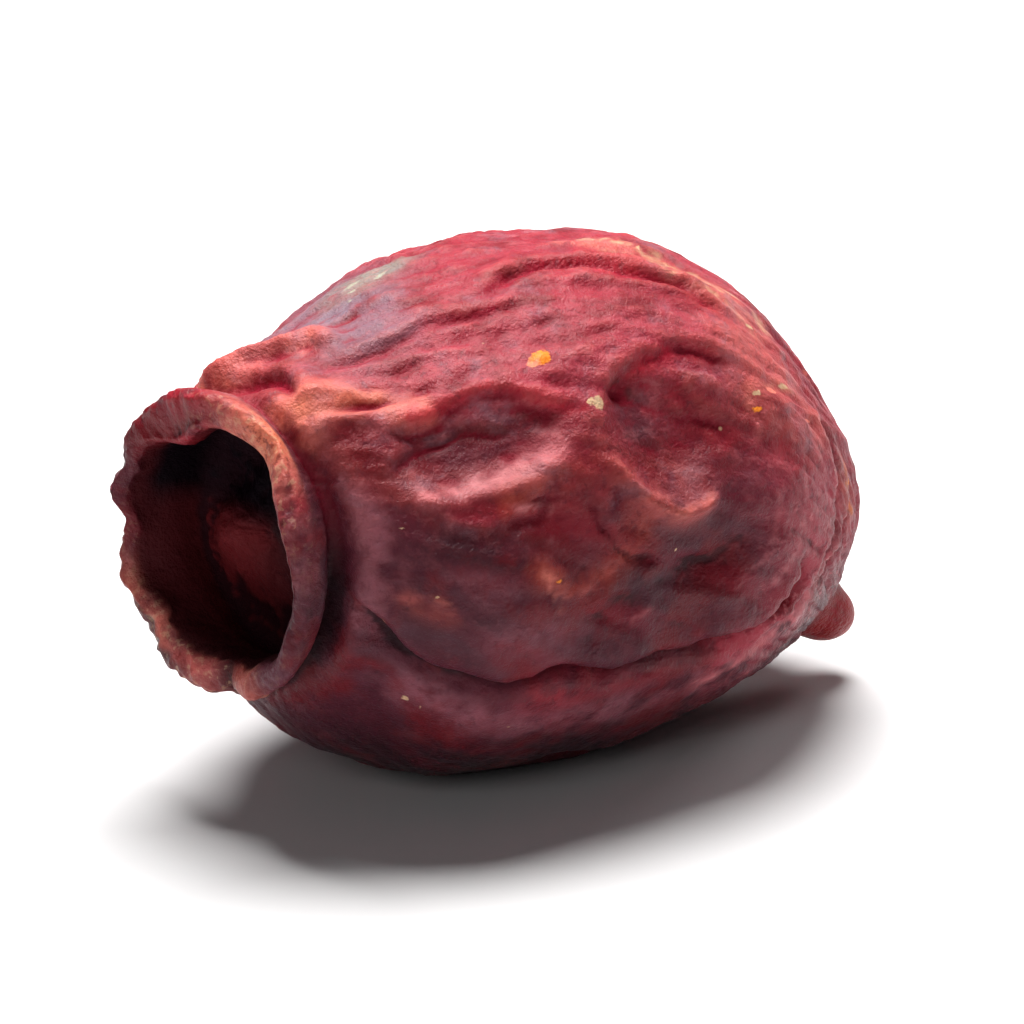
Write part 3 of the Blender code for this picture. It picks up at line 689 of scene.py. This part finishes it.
# stains along lines: (colour, strength, half width, points)
lineStains = (
    ("orange", 0.85, 0.3, ((-5.3, 24), (-5, 24), (-4.6, 27), (-4.2, 32), (-3.8, 37), (-3.3, 37))),
    ("orange", 0.8, 0.26, ((-5.25, 37), (-4.95, 35), (-4.6, 33), (-4.3, 36))),
    ("coral", 0.9, 0.34, ((-5.4, -40), (-4.95, -32), (-4.6, -23), (-4.3, -14), (-4.05, -7), (-3.8, -2),
        (-4, 4))),
    ("coral", 0.5, 0.36, ((-5.5, -62), (-5.1, -54), (-4.5, -46))),
    ("crimson", 0.9, 0.1, ((-4, 40), (-3.6, 39), (-2.9, 38), (-2.4, 39), (-2, 43), (-1.5, 49), (-1.1, 52))),
    # mauve under the brow and wine along the lid line are painted shade under the folds
    ("mauve", 0.7, 0.2, ((-4.3, 49), (-3.8, 46), (-3.3, 45), (-2.8, 46), (-2.3, 49), (-1.9, 52))),
    ("wine", 0.6, 0.13, foldPath("lid")),
    # rose and the pale pink along the lower lip, and the thin pink line on the brow's crest, are painted
    # highlight
    ("rose", 0.9, 0.3, ((-4.3, 60), (-3.8, 61), (-3.3, 60), (-2.7, 60), (-2.2, 59), (-1.6, 56))),
    ("paintedHighlightPink", 0.5, 0.15, ((-3.7, 61), (-3.2, 60), (-2.7, 60), (-2.1, 58))),
    ("crimson", 0.5, 0.16, ((-3.9, 67), (-3.4, 68), (-2.9, 68), (-2.3, 69), (-1.8, 70))),
    ("pink", 0.7, 0.06, ((-4, 39), (-3.6, 37), (-2.9, 36), (-2.4, 37), (-2, 41), (-1.5, 47), (-1.1, 50))),
    ("crimson", 0.9, 0.14, ((-0.7, 50), (-0.3, 47), (0.3, 44), (0.8, 43), (1.3, 44), (1.8, 47))),
    ("crimson", 0.85, 0.2, ((0.5, 51), (0.85, 56), (1.15, 62), (1.4, 68))),
    ("orange", 0.75, 0.06, ((-1.1, 63), (-0.9, 68), (-0.6, 74), (-0.1, 78), (0.4, 77), (0.7, 75))),
    ("coral", 0.5, 0.26, ((-1.2, 62), (-0.8, 70), (-0.5, 76), (0.2, 79), (0.7, 77))),
    ("ember", 0.75, 0.26, ((-2.8, 79), (-2.6, 84), (-2.2, 89), (-1.8, 89), (-1.4, 86), (-0.9, 82),
        (-0.5, 79))),
    ("coral", 0.45, 0.09, ((-2.3, 89), (-1.95, 90), (-1.5, 87), (-1.1, 84))),
    ("orange", 0.85, 0.07, ((-2.75, 81), (-2.6, 84), (-2.4, 87), (-2.2, 91))),
    ("orange", 0.6, 0.05, ((-2.55, 86), (-2.4, 91), (-2.3, 94))),
    ("ember", 0.7, 0.17, ((-4.6, 92), (-4.4, 95), (-4.1, 95), (-3.85, 92))),
    ("red", 0.95, 0.3, ((-2.8, 115), (-1.6, 117), (-0.5, 119), (0.6, 120), (1.6, 118))),
    # near black along the belly fold is painted shade under its overhanging roll
    ("crease", 0.85, 0.13, foldPath("belly")),
    ("wine", 0.5, 0.26, foldPath("bellyCrease")),
    # near black in the gap behind the collar is painted shade
    ("crease", 1, 0.14, ((-5.26, 78), (-5.24, 92), (-5.22, 108), (-5.2, 122), (-5.22, 150))),
    ("dusk", 1, 0.42, ((-4.8, 122), (-3.6, 123), (-2.2, 125), (-0.8, 127), (0.8, 128), (2.4, 122),
        (3.5, 110))),
    ("rose", 0.4, 0.2, ((-4.85, 62), (-4.76, 74), (-4.74, 86), (-4.78, 98), (-4.85, 110))),
    ("rose", 0.6, 0.05, ((-1, 100), (-0.8, 99), (-0.6, 98))),
    ("dusk", 0.95, 0.26, ((-4.9, 58), (-4.8, 70), (-4.78, 84), (-4.8, 98), (-4.85, 112))),
    ("groove", 1, 0.1, foldPath("top")),
    ("groove", 1, 0.15, foldPath("longTop")),
    ("crimson", 0.55, 0.32, foldPath("longTop")[3:]),
    ("groove", 0.95, 0.12, foldPath("collar")),
    ("red", 1, 0.3, ((-3.6, 67), (-3.1, 67), (-2.6, 67), (-2.1, 68), (-1.7, 69))),
    ("ember", 0.85, 0.3, ((-3.2, 67), (-2.6, 66), (-2, 65), (-1.5, 64))),
    ("ember", 0.5, 0.42, ((-1.6, 62), (-1.2, 68), (-0.9, 74), (-0.8, 80))),
    # the short pale pink dashes below the lower lip are painted highlight
    ("paintedHighlightPink", 0.85, 0.06, ((-3, 68), (-2.6, 69), (-2.2, 71))),
    ("pink", 1, 0.75, ((0.8, 122), (2.3, 117), (3.3, 104), (3.9, 88), (3.8, 70))),
    ("rose", 0.8, 0.13, ((0.6, 128), (1.4, 126), (2.5, 120), (3.3, 112), (3.8, 100), (4.2, 87), (3.9, 73))),
    ("rose", 0.5, 0.08, ((2.8, 73), (2.7, 86), (2.3, 96), (1.8, 102))),
    ("rose", 0.4, 0.07, ((2, 78), (1.9, 88), (1.6, 95), (1.1, 98))),
    ("coral", 0.9, 0.42, ((0.8, 2), (1.4, 10), (2, 18), (2.6, 24), (3.2, 31), (3.5, 38))),
    ("cream", 1, 0.095, ((0.8, 1), (1.3, 6), (1.75, 13), (2.3, 19), (2.87, 23), (3.4, 28), (3.8, 34))),
    ("cream", 1, 0.095, ((0.9, 9), (1.45, 16), (1.9, 23), (2.4, 27), (2.8, 32), (3.03, 40))),
    ("cream", 1, 0.09, ((1.2, 3), (1.75, 8), (2.2, 14), (2.7, 18), (3.3, 23), (3.9, 30))),
    ("orange", 0.75, 0.07, ((0.3, 4), (0.9, 8), (1.5, 13), (2, 20))),
    ("coral", 0.7, 0.34, ((3.2, 46), (3.8, 52), (3.8, 60), (3.2, 66), (2.6, 68))),
    ("orange", 0.95, 0.13, ((1.95, 62), (2.1, 55), (2.6, 54), (3.2, 53))),
    ("cream", 0.85, 0.06, ((2.4, 54), (2.8, 53), (3.3, 54))),
    ("coral", 0.6, 0.12, ((2, 60), (2.05, 68))),
    ("orange", 0.5, 0.07, ((3.3, 54), (3.5, 60), (3.4, 64))),
    ("yellow", 0.8, 0.09, ((4.55, 68), (4.5, 80), (4.8, 90))),
)

# stains in ovals: (colour, strength) and the oval
ovalStains = (
    ("lilac", 1, -3, -16, 1.3, 1.1), ("lilac", 0.8, -3.4, 2, 0.9, 1), ("bloom", 1, -2.2, -14, 0.85, 0.45),
    ("orange", 0.8, -4.8, 28, 0.5, 0.5), ("coral", 0.9, -4.75, -26, 0.5, 0.8),
    ("coral", 0.8, -4.1, -4, 0.5, 0.5), ("orange", 0.8, -5.1, -24, 0.22, 0.5),
    ("orange", 0.7, -4, -3, 0.25, 0.22), ("amber", 0.6, -4.95, 30, 0.26, 0.2),
    ("amber", 0.5, -4.2, 30, 0.3, 0.14), ("amber", 0.8, -5.25, -34, 0.2, 0.34),
    ("rose", 0.6, -4.4, 41, 0.28, 0.22), ("ruby", 0.7, -4.6, 51, 0.3, 0.26),
    ("wine", 0.75, -3, 50, 0.9, 0.36), ("grey", 0.7, -0.2, 55, 0.5, 0.5), ("red", 0.8, 1.1, 60, 0.7, 0.9),
    # the near-black oval at -0.4 mm, 49 degrees is painted shade in the eye's pit
    ("crimson", 0.25, -2, 117, 0.7, 0.35), ("crease", 0.85, -0.4, 49, 0.22, 0.2),
    ("wine", 0.6, 0.7, 88, 1, 0.45), ("grey", 0.45, -3.9, 96, 1, 0.5), ("coral", 0.5, -4, 92, 0.22, 0.12),
    ("orange", 0.95, -4.05, 90, 0.12, 0.08), ("dark", 0.55, -3.4, 77, 0.9, 0.35),
    ("dusk", 0.55, -2.7, 99, 0.8, 0.4), ("dusk", 0.5, -3.6, 86, 0.5, 0.3), ("red", 0.9, -1.7, 70, 0.6, 0.6),
    ("coral", 0.35, -0.3, 71, 0.8, 0.35), ("coral", 0.3, -4.2, 60, 0.5, 0.3),
    ("dark", 0.45, -1, 92, 0.6, 0.3), ("coral", 0.6, -4.5, 92, 0.16, 0.12), ("red", 0.5, -1.5, 78, 0.8, 0.5),
    ("lilac", 0.4, 0.5, 305, 1.2, 0.6), ("bloom", 0.4, 2.2, 318, 0.5, 0.3),
    ("mauve", 0.4, -4.9, 118, 0.8, 0.7), ("orange", 0.45, 4.5, 80, 0.3, 0.6),
    ("coral", 0.65, 2.7, 46, 1, 1.4), ("coral", 0.4, -3, 285, 1.2, 0.5),
    ("orange", 0.45, -4.4, 300, 0.6, 0.7), ("wine", 0.5, 0.6, 250, 1.6, 0.8),
)

# stains round the calyx rim: (colour, strength, degrees, half width in degrees)
rimStains = (
    ("ruby", 1, -48, 26), ("crimson", 0.65, -14, 20), ("wine", 0.7, -90, 34), ("coral", 0.8, 14, 12),
    ("amber", 0.75, 34, 18), ("coral", 0.75, 50, 10), ("groove", 0.7, 60, 4), ("rose", 0.4, 78, 14),
    ("grey", 0.6, 112, 18), ("orange", 0.5, 238, 12), ("orange", 0.8, 214, 12), ("coral", 0.95, 188, 13),
    ("crease", 0.9, 171, 5), ("orange", 0.75, 156, 9), ("mauve", 0.8, 134, 12),
)

# small spots with a crisp edge, as ovals
spots = {
    "yellow": ((-1.5, 37, 0.28, 0.24), (-2.4, 86, 0.1, 0.07), (4.62, 78, 0.1, 0.16), (-2.5, 127, 0.09, 0.05),
        (2.7, 19, 0.14, 0.07), (2.1, 60, 0.2, 0.08), (-2.3, 287, 0.18, 0.12)),
    "amber": ((-1.68, 37.5, 0.17, 0.15),),
    "cream": ((-0.98, 51, 0.17, 0.21), (-4.12, 90, 0.05, 0.045), (-4, 91.5, 0.035, 0.03),
        (-2.1, 88, 0.05, 0.04), (2.2, 56, 0.16, 0.08), (3.05, 53, 0.2, 0.07), (-1.12, 50, 0.12, 0.08),
        (-4.2, 127, 0.1, 0.06), (-4, 127, 0.07, 0.05), (-2.7, 126, 0.11, 0.06), (-4.85, 76, 0.06, 0.06),
        (-4.5, 72, 0.07, 0.06), (-0.4, 84, 0.07, 0.07), (-0.1, 86, 0.05, 0.05), (1.7, 11, 0.16, 0.06),
        (3, 35, 0.2, 0.06), (1.2, 8, 0.12, 0.05), (3.9, 75, 0.12, 0.05), (0.1, 20, 0.07, 0.06),
        (1.4, 262, 0.12, 0.08), (3.1, 300, 0.18, 0.06), (-3.9, 240, 0.09, 0.07), (0.4, 205, 0.1, 0.06)),
    "frost": ((-2.45, -15, 0.3, 0.1), (-2.1, -11, 0.24, 0.08), (-2.65, -12, 0.12, 0.09),
        (-2.9, -8, 0.12, 0.06), (-3.3, -14, 0.1, 0.07), (-3.6, -6, 0.08, 0.05)),
    "orange": ((2.6, 55, 0.26, 0.1), (3.4, 62, 0.16, 0.07), (2.2, 276, 0.2, 0.08)),
}


def smoothedBy(mesh, values, rounds):
    ends = np.empty(len(mesh.edges) * 2, int)
    mesh.edges.foreach_get("vertices", ends)
    first, second = ends[0::2], ends[1::2]
    total = len(mesh.vertices)
    neighbours = np.bincount(ends, minlength=total)
    values = values.copy()
    for _ in range(rounds):
        for column in range(values.shape[1]):
            old = values[:, column]
            around = (np.bincount(first, weights=old[second], minlength=total)
                      + np.bincount(second, weights=old[first], minlength=total))
            values[:, column] = 0.5 * old + 0.5 * around / neighbours
    return values


def hollowness(mesh, places, normals, rounds):
    # how far each point lies below its smoothed neighbourhood
    return ((smoothedBy(mesh, places, rounds) - places) * normals).sum(axis=1)


def writeAttribute(mesh, name, kind, values):
    attribute = mesh.attributes.new(name, kind, "POINT")
    field = {"FLOAT": "value", "FLOAT_VECTOR": "vector", "FLOAT_COLOR": "color"}[kind]
    attribute.data.foreach_set(field, np.asarray(values, np.float32).ravel())


def paintSkin(mesh, places, plainBerry):
    normals = readMesh(mesh, mesh.vertex_normals, "vector")
    colour = {name: np.array(value) for name, value in palette.items()}
    plain, x, radius, angle = (plainBerry[name] for name in ("plain", "x", "radius", "angle"))
    degrees = np.degrees(angle)
    tint = np.empty((len(places), 3))

    ragged = lumpsAt(plain, painting["raggedSize"], 0.7, 2, 4)
    flecks = lumpsAt(plain, painting["fleckSize"], 0.7, 2, 3)
    clear = np.zeros(len(places))  # how far a pale stain keeps its colour clear of the mottling
    deep = np.zeros(len(places))  # how far a deep one keeps clear of the haze

    def stain(share, name):
        tint[:] = tint + (colour[name] - tint) * share[:, None]

    def brokenStain(share, name, least):
        # least is how whole the stain stays where the noise is lowest
        share = share * ease(least + 0.85 * ragged)
        stain(share, name)
        if name in paleColours:
            np.maximum(clear, share, out=clear)
        if name in deepColours:
            np.maximum(deep, share, out=deep)

    # the ground colour: wine, redder and then pinker upwards as painted top light, pink at the stalk end, dark
    # underneath as painted shade
    skinUp = plain[:, 2] / body["radius"]
    tint[:] = colour["wine"]
    stain(ease((skinUp - 0.1) / 0.5), "red")
    stain(ease((skinUp - 0.4) / 0.4) * 0.75, "pink")
    stain(ease((x - 0.8) / 2.6) * ease((skinUp + 0.45) / 0.5) * 0.75, "pink")
    stain(ease((-0.45 - skinUp) / 0.4) * 0.9, "dark")
    for name, strength, width, points in lineStains:
        near, side, _, fade = alongPath(points, plain, normals, width * 2.6, 0.08)
        share = np.zeros(len(places))
        share[near] = strength * bell(side / width) * fade
        if width < 0.1 and name != "groove":
            share *= ease((0.5 if name == "cream" else 0.7) + 1.8 * flecks)
        brokenStain(share, name, 1.2 if name == "groove" else 0.95 if width < 0.15 else 0.75)
    for name, strength, *oval in ovalStains:
        share = strength * ease(1.5 - ovalDistance(oval, plain))
        brokenStain(share, name, 1.1 if name in ("lilac", "bloom") else 0.55 if oval[2] < 0.3 else 0.85)
    for *oval, _ in pits:
        away = ovalDistance(oval, plain)
        stain(bell(0.8 * away), "ruby")
        np.maximum(deep, bell(0.4 * away), out=deep)

    # the collar, its rim and the cup
    cup = ease((lipMiddle - 0.08 - radius) / 0.16) * (x < body["cupEndX"]) * ease((x + 6) / 0.2)
    nearRim = ease((body["neckX"] - 0.12 - x) / 0.25)
    collar = (1 - plainBerry["onBody"]) * plainBerry["outside"]
    stain(collar * 0.85, "grey")
    stain(collar * 0.7 * ease(1.2 - np.abs(turnedAway(degrees, -15)) / 40), "coral")
    stain(nearRim * 0.9, "wine")
    for name, strength, middle, width in rimStains:
        brokenStain(nearRim * strength * arc(degrees, middle, width), name, 0.95)
    stain(nearRim * tucked(degrees, radius), "ruby")
    # dark on the lip's outer side at its underside is a painted shadow under the collar
    stain(nearRim * 0.9 * ease((radius - lipMiddle + 0.08) / 0.12) * arc(degrees, 212, 30), "dark")
    # inside the cup: the dark wall is painted shade, the brighter floor patch painted light, and the near-black
    # band under the upper lip a painted shadow
    stain(cup, "shadedCupWall")
    stain(0.9 * cup * arc(degrees, -30, 22) * ease((-5.45 - x) / 0.3), "ruby")
    stain(ease((2.1 - radius) / 0.5) * cup * arc(degrees, 250, 75), "litCupFloor")
    cupUp = ease((radius * np.cos(angle) + 0.2) / 0.6)
    stain(cup * cupUp * ease((x + 5.75) / 0.3), "cupShadow")

    # the stalk's nub, and the skin round it
    nearNub = (x > body["stalkX"]) * ease(1.9 - radius)
    stain(nearNub * (0.55 + 0.45 * ease(0.5 + 1.5 * flecks)) * 0.75, "ruby")
    nub = (x > body["stalkX"]) * ease((1 - radius) / 0.25)
    stain(nub * 0.9, "nub")
    np.maximum(clear, nub * 0.6, out=clear)
    np.maximum(deep, nub, out=deep)

    # creases and ridges as the shape has them, fine and broad; the creases set where the material paints shade
    fine = hollowness(mesh, places, normals, painting["fineRounds"])
    broad = hollowness(mesh, places, normals, painting["broadRounds"])

    def relief(name, sign):
        return clamp(sum(share * clamp((sign * depth - low) / span)
                         for depth, (low, span, share) in zip((fine, broad), painting[name])))

    spotShare = np.zeros(len(places))
    spotTint = np.ones((len(places), 3))
    for name, ovals in spots.items():
        for oval in ovals:
            share = bell(1.5 * ovalDistance(oval, plain))
            spotTint[share > spotShare] = colour[name]
            spotShare = np.maximum(spotShare, share)

    grain = np.stack([np.cos(angle) * radius, np.sin(angle) * radius, plainBerry["length"]], axis=1)
    writeAttribute(mesh, "tint", "FLOAT_COLOR", np.concatenate([tint, np.ones((len(tint), 1))], axis=1))
    spotShare *= plainBerry["outside"]
    writeAttribute(mesh, "spotTint", "FLOAT_COLOR", np.concatenate([spotTint, spotShare[:, None]], axis=1))
    writeAttribute(mesh, "grain", "FLOAT_VECTOR", grain)
    pale = sum(strength * arc(degrees, middle, width) for strength, middle, width in painting["paleRim"])
    for name, values in {
        "crease": relief("creases", 1),
        "ridge": relief("ridges", -1),
        "valley": plainBerry["valleys"] * plainBerry["onBody"],
        "cup": cup,
        "clear": clear * (1 - cup),
        "deep": deep,
        "rim": nearRim * (1 - cup) * pale,
        "upper": ease((skinUp + 0.1) / 0.8) * (1 - 0.85 * nearRim),
        "stalkEnd": ease((x - 0.5) / 3),
    }.items():
        writeAttribute(mesh, name, "FLOAT", values)
    return cup


# the skin's material
finish = {
    "skin": {"coat": 0.03, "specular": 0.18, "subsurface": 0.14},
    "cup": {"coat": 0, "specular": 0.06, "subsurface": 0},
    "coatRoughness": 0.32,
    "roughness": {"least": 0.12, "patches": 0.6, "crease": 0.14, "cup": 0.12, "most": 0.78},
    "subsurfaceReach": 0.5,  # mm
    "subsurfaceSpread": (1, 0.3, 0.2),
    "bump": {"strength": 0.8, "height": 0.07, "blotches": 0.9, "pores": 0.5},  # height in mm
    "specks": (1.5, 0.07, 0.16),  # stray ones: cells for each mm, size in cells, share of the cells
    "flakes": (2.4, 0.16, 0.3),  # those of the stalk end
}

# noise patterns: (what they follow, stretch along it, scale, detail, roughness)
patterns = {
    "lines": ("grain", 0.42, 3, 4, 0.6), "fineLines": ("grain", 0.45, 8, 3, 0.6),
    "mottle": ("place", 1, 0.85, 5, 0.6), "patches": ("place", 1, 2.6, 5, 0.65),
    "blotches": ("place", 1, 5.5, 4, 0.65), "haze": ("place", 1.3, 1.35, 6, 0.65),
    "pores": ("place", 1, 14, 3, 0.65), "speckles": ("place", 1, 7.5, 3, 0.6),
}

# layers over the stains: (colour, pattern, from, to, share at from, share at to, where)
skinLayers = (
    ("ruby", "mottle", 0.47, 0.64, 0, 0.7, "mottled"), ("lilac", "haze", 0.5, 0.68, 0, 0.45, "hazy"),
    ("rose", "patches", 0.5, 0.72, 0, 0.3, "rosy"), ("wine", "blotches", 0.34, 0.46, 0.4, 0, "mottled"),
    ("ruby", "lines", 0.36, 0.5, 0.3, 0, "lined"), ("rose", "fineLines", 0.54, 0.68, 0, 0.22, "streaked"),
)
rimLayers = (
    ("cream", "speckles", 0.53, 0.64, 0, 0.4, "rim"), ("ruby", "speckles", 0.36, 0.46, 0.6, 0, "rim"),
)


def newMaterial(name):
    material = bpy.data.materials.new(name)
    material.use_nodes = True
    return material, material.node_tree.nodes["Principled BSDF"]


def fill(node, inputs):
    # an input is a value or another node's output
    for name, value in inputs.items():
        if isinstance(value, bpy.types.NodeSocket):
            node.id_data.links.new(value, node.inputs[name])
        else:
            node.inputs[name].default_value = value


def skinMaterial(name, gloss):
    material, shader = newMaterial(name)

    def add(kind, inputs, **settings):
        node = material.node_tree.nodes.new(kind)
        for name, value in settings.items():
            setattr(node, name, value)
        fill(node, inputs)
        return node

    def attribute(name, output="Fac"):
        return add("ShaderNodeAttribute", {}, attribute_name=name).outputs[output]

    def calc(kind, *values):
        return add("ShaderNodeMath", dict(enumerate(values)), operation=kind).outputs[0]

    def spread(*values):
        # value, low and high, then what low and high become, if not 0 and 1
        return add("ShaderNodeMapRange", dict(enumerate(values)), interpolation_type="SMOOTHSTEP").outputs[0]

    def mix(share, first, second):
        if isinstance(second, str):
            second = (*palette[second], 1)
        return add("ShaderNodeMix", {0: share, 6: first, 7: second}, data_type="RGBA").outputs[2]

    def scaled(vector, size):
        return add("ShaderNodeMapping", {"Vector": vector, "Scale": size}).outputs[0]

    def noiseOn(vector, scale, detail, roughness):
        inputs = {"Vector": vector, "Scale": scale, "Detail": detail, "Roughness": roughness}
        return add("ShaderNodeTexNoise", inputs).outputs[0]

    def share(name, factor, rest):
        # an attribute times a factor, with the rest added
        return calc("MULTIPLY_ADD", attribute(name), factor, rest)

    def product(first, *others):
        for other in others:
            first = calc("MULTIPLY", first, other)
        return first

    def specksOn(vector, scale, size, share):
        # round specks in a share of the cells of a scattered pattern
        node = add("ShaderNodeTexVoronoi", {"Vector": vector, "Scale": scale})
        pick = add("ShaderNodeSeparateColor", {0: node.outputs["Color"]})
        chosen = calc("LESS_THAN", pick.outputs[0], share)
        grown = calc("MULTIPLY_ADD", pick.outputs[1], size, size * 0.4)
        return calc("MULTIPLY", chosen, spread(calc("SUBTRACT", grown, node.outputs["Distance"]), 0, 0.03))

    def layered(colour, layers):
        for name, pattern, low, high, atLow, atHigh, spot in layers:
            colour = mix(product(spread(field[pattern], low, high, atLow, atHigh), where[spot]), colour, name)
        return colour

    place = scaled(add("ShaderNodeTexCoord", {}).outputs["Object"], (1 / mm,) * 3)  # in millimetres
    grain = attribute("grain", "Vector")
    follows = {"place": place, "grain": grain}
    field = {name: noiseOn(scaled(follows[vector], (1, 1, stretch)), *numbers)
             for name, (vector, stretch, *numbers) in patterns.items()}
    crease, ridge, cup, rim = (attribute(name) for name in ("crease", "ridge", "cup", "rim"))
    upper, stalkEnd = attribute("upper"), attribute("stalkEnd")
    outer, offRim = calc("SUBTRACT", 1, cup), calc("SUBTRACT", 1, rim)
    mottled = product(outer, share("clear", -0.8, 1))
    hazy = product(outer, share("deep", -0.95, 1))
    where = {
        "mottled": mottled,
        "hazy": product(hazy, share("upper", 0.85, 0.15)),
        "rosy": product(hazy, share("upper", 0.75, 0.25)),
        "lined": product(share("upper", 0.7, 0.3), offRim, mottled),
        "streaked": product(hazy, calc("MAXIMUM", upper, calc("MULTIPLY", stalkEnd, 1.8))),
        "rim": rim,
    }

    # base colour: stains, broken up by the layers, then painted shade darkening the creases, and warmer on
    # ridges
    colour = layered(attribute("tint", "Color"), skinLayers)
    colour = mix(product(attribute("valley"), 0.35), colour, "groove")
    colour = mix(product(spread(ridge, 0.1, 0.9, 0, 0.22), upper, outer), colour, "coral")
    # painted shade for the creases: crimson on the upper side, near black lower down
    paintedCreaseShade = mix(product(upper, outer, 0.95), (*palette["crease"], 1), "groove")
    colour = mix(spread(crease, 0.18, 0.95, 0, 0.85), colour, paintedCreaseShade)
    colour = layered(colour, rimLayers)

    # pale flecks: the placed ones, then stray specks, which are commonest towards the stalk end
    spotColour = add("ShaderNodeAttribute", {}, attribute_name="spotTint")
    ragged = calc("MULTIPLY_ADD", field["patches"], 0.9, spotColour.outputs["Alpha"])
    ragged = calc("MULTIPLY_ADD", field["pores"], 0.5, ragged)
    colour = mix(spread(ragged, 1.08, 1.3), colour, spotColour.outputs["Color"])
    colour = mix(product(specksOn(place, *finish["specks"]), outer, 0.8), colour, "cream")
    flakes = product(specksOn(scaled(grain, (1, 1, 0.5)), *finish["flakes"]), stalkEnd, upper)
    colour = mix(product(flakes, spread(field["patches"], 0.46, 0.6), 0.65), colour, "orange")

    roughness, bump = finish["roughness"], finish["bump"]
    rough = roughness["least"]
    for name, value in (("patches", field["patches"]), ("crease", crease), ("cup", cup)):
        rough = calc("MULTIPLY_ADD", value, roughness[name], rough)
    height = product(field["pores"], bump["pores"])
    height = calc("MULTIPLY_ADD", field["blotches"], bump["blotches"], height)
    bumpInputs = {"Strength": bump["strength"], "Distance": bump["height"] * mm, "Height": height}
    fill(shader, {
        "Base Color": colour,
        "Roughness": calc("MINIMUM", rough, roughness["most"]),
        "Normal": add("ShaderNodeBump", bumpInputs).outputs[0],
        "Subsurface Weight": gloss["subsurface"],
        "Subsurface Radius": finish["subsurfaceSpread"],
        "Subsurface Scale": finish["subsurfaceReach"] * mm,
        "Coat Weight": gloss["coat"],
        "Coat Roughness": finish["coatRoughness"],
        "IOR": 1.45,
        "Specular IOR Level": gloss["specular"],
    })
    return material


# the berry: a cage, shrivelled, set down and painted
berry = buildCage()
report("cage of %d points" % len(berry.data.vertices))
places, plainBerry = shrivel(berry.data)
places = setOnTable(places)
writePlaces(berry.data, places)
cup = paintSkin(berry.data, places, plainBerry)
writePlaces(berry.data, places * mm)
berry.data.shade_smooth()
berry.data.materials.clear()
berry.data.materials.append(skinMaterial("driedSkin", finish["skin"]))
berry.data.materials.append(skinMaterial("cupSkin", finish["cup"]))
corners = np.empty(len(berry.data.loops), int)
berry.data.loops.foreach_get("vertex_index", corners)
inCup = cup[corners].reshape(-1, 4).mean(axis=1) > 0.5
berry.data.polygons.foreach_set("material_index", inCup.astype(int))
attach(berry, "root")
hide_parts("berry")
report("berry done")


# the table, the lights and the camera
studio = {
    "azimuth": -38.5,
    "elevation": 20,
    "lens": 400,
    "frameWidth": 15.8,  # mm across the picture at the berry
    "aim": (0, 0, 3.75),
    "tableSize": 600,
    "table": (0.76, 0.76, 0.77),
    "tableRoughness": 0.85,
    "tableShine": 0.1,
    "world": 0.045,
    "worldColour": (0.96, 0.97, 1),
    "lights": (  # name, place and size in mm, power, colour
        ("overhead", (12, 20, 88), 60, 0.178, (1, 0.985, 0.97)),
        ("front", (-95, -60, 60), 50, 0.02, (1, 0.99, 0.98)),
        ("edge", (95, 20, 60), 40, 0.016, (1, 0.985, 0.97)),
    ),
}

turn, rise = math.radians(studio["azimuth"]), math.radians(studio["elevation"])
toCamera = Vector((math.sin(turn) * math.cos(rise), -math.cos(turn) * math.cos(rise), math.sin(rise)))
aim = Vector(studio["aim"]) * mm

bpy.ops.object.select_all(action="DESELECT")
bpy.ops.mesh.primitive_plane_add(size=studio["tableSize"] * mm, location=(0, 0, 0))
table = bpy.context.active_object
table.name = "table"
tableMaterial, tableShader = newMaterial("paleTable")
fill(tableShader, {"Base Color": (*studio["table"], 1), "Roughness": studio["tableRoughness"],
                   "Specular IOR Level": studio["tableShine"]})
table.data.materials.append(tableMaterial)

for name, lightPlace, size, power, colour in studio["lights"]:
    lamp = bpy.data.lights.new(name, "AREA")
    lamp.shape = "DISK"
    lamp.size = size * mm
    lamp.energy = power
    lamp.color = colour
    holder = bpy.data.objects.new(name, lamp)
    bpy.context.scene.collection.objects.link(holder)
    holder.location = Vector(lightPlace) * mm
    holder.rotation_euler = (aim - holder.location).to_track_quat("-Z", "Y").to_euler()

world = bpy.data.worlds.new("paleRoom")
world.use_nodes = True
fill(world.node_tree.nodes["Background"], {"Color": (*studio["worldColour"], 1), "Strength": studio["world"]})
bpy.context.scene.world = world
bpy.context.scene.view_settings.view_transform = "Standard"

lens = bpy.data.cameras.new("camera")
lens.lens = studio["lens"]
lens.clip_start = 0.005
lens.clip_end = 5
camera = bpy.data.objects.new("camera", lens)
bpy.context.scene.collection.objects.link(camera)
camera.location = aim + toCamera * (studio["frameWidth"] * mm * lens.lens / lens.sensor_width)
camera.rotation_euler = (-toCamera).to_track_quat("-Z", "Y").to_euler()
bpy.context.scene.camera = camera
report("table, light and camera set")
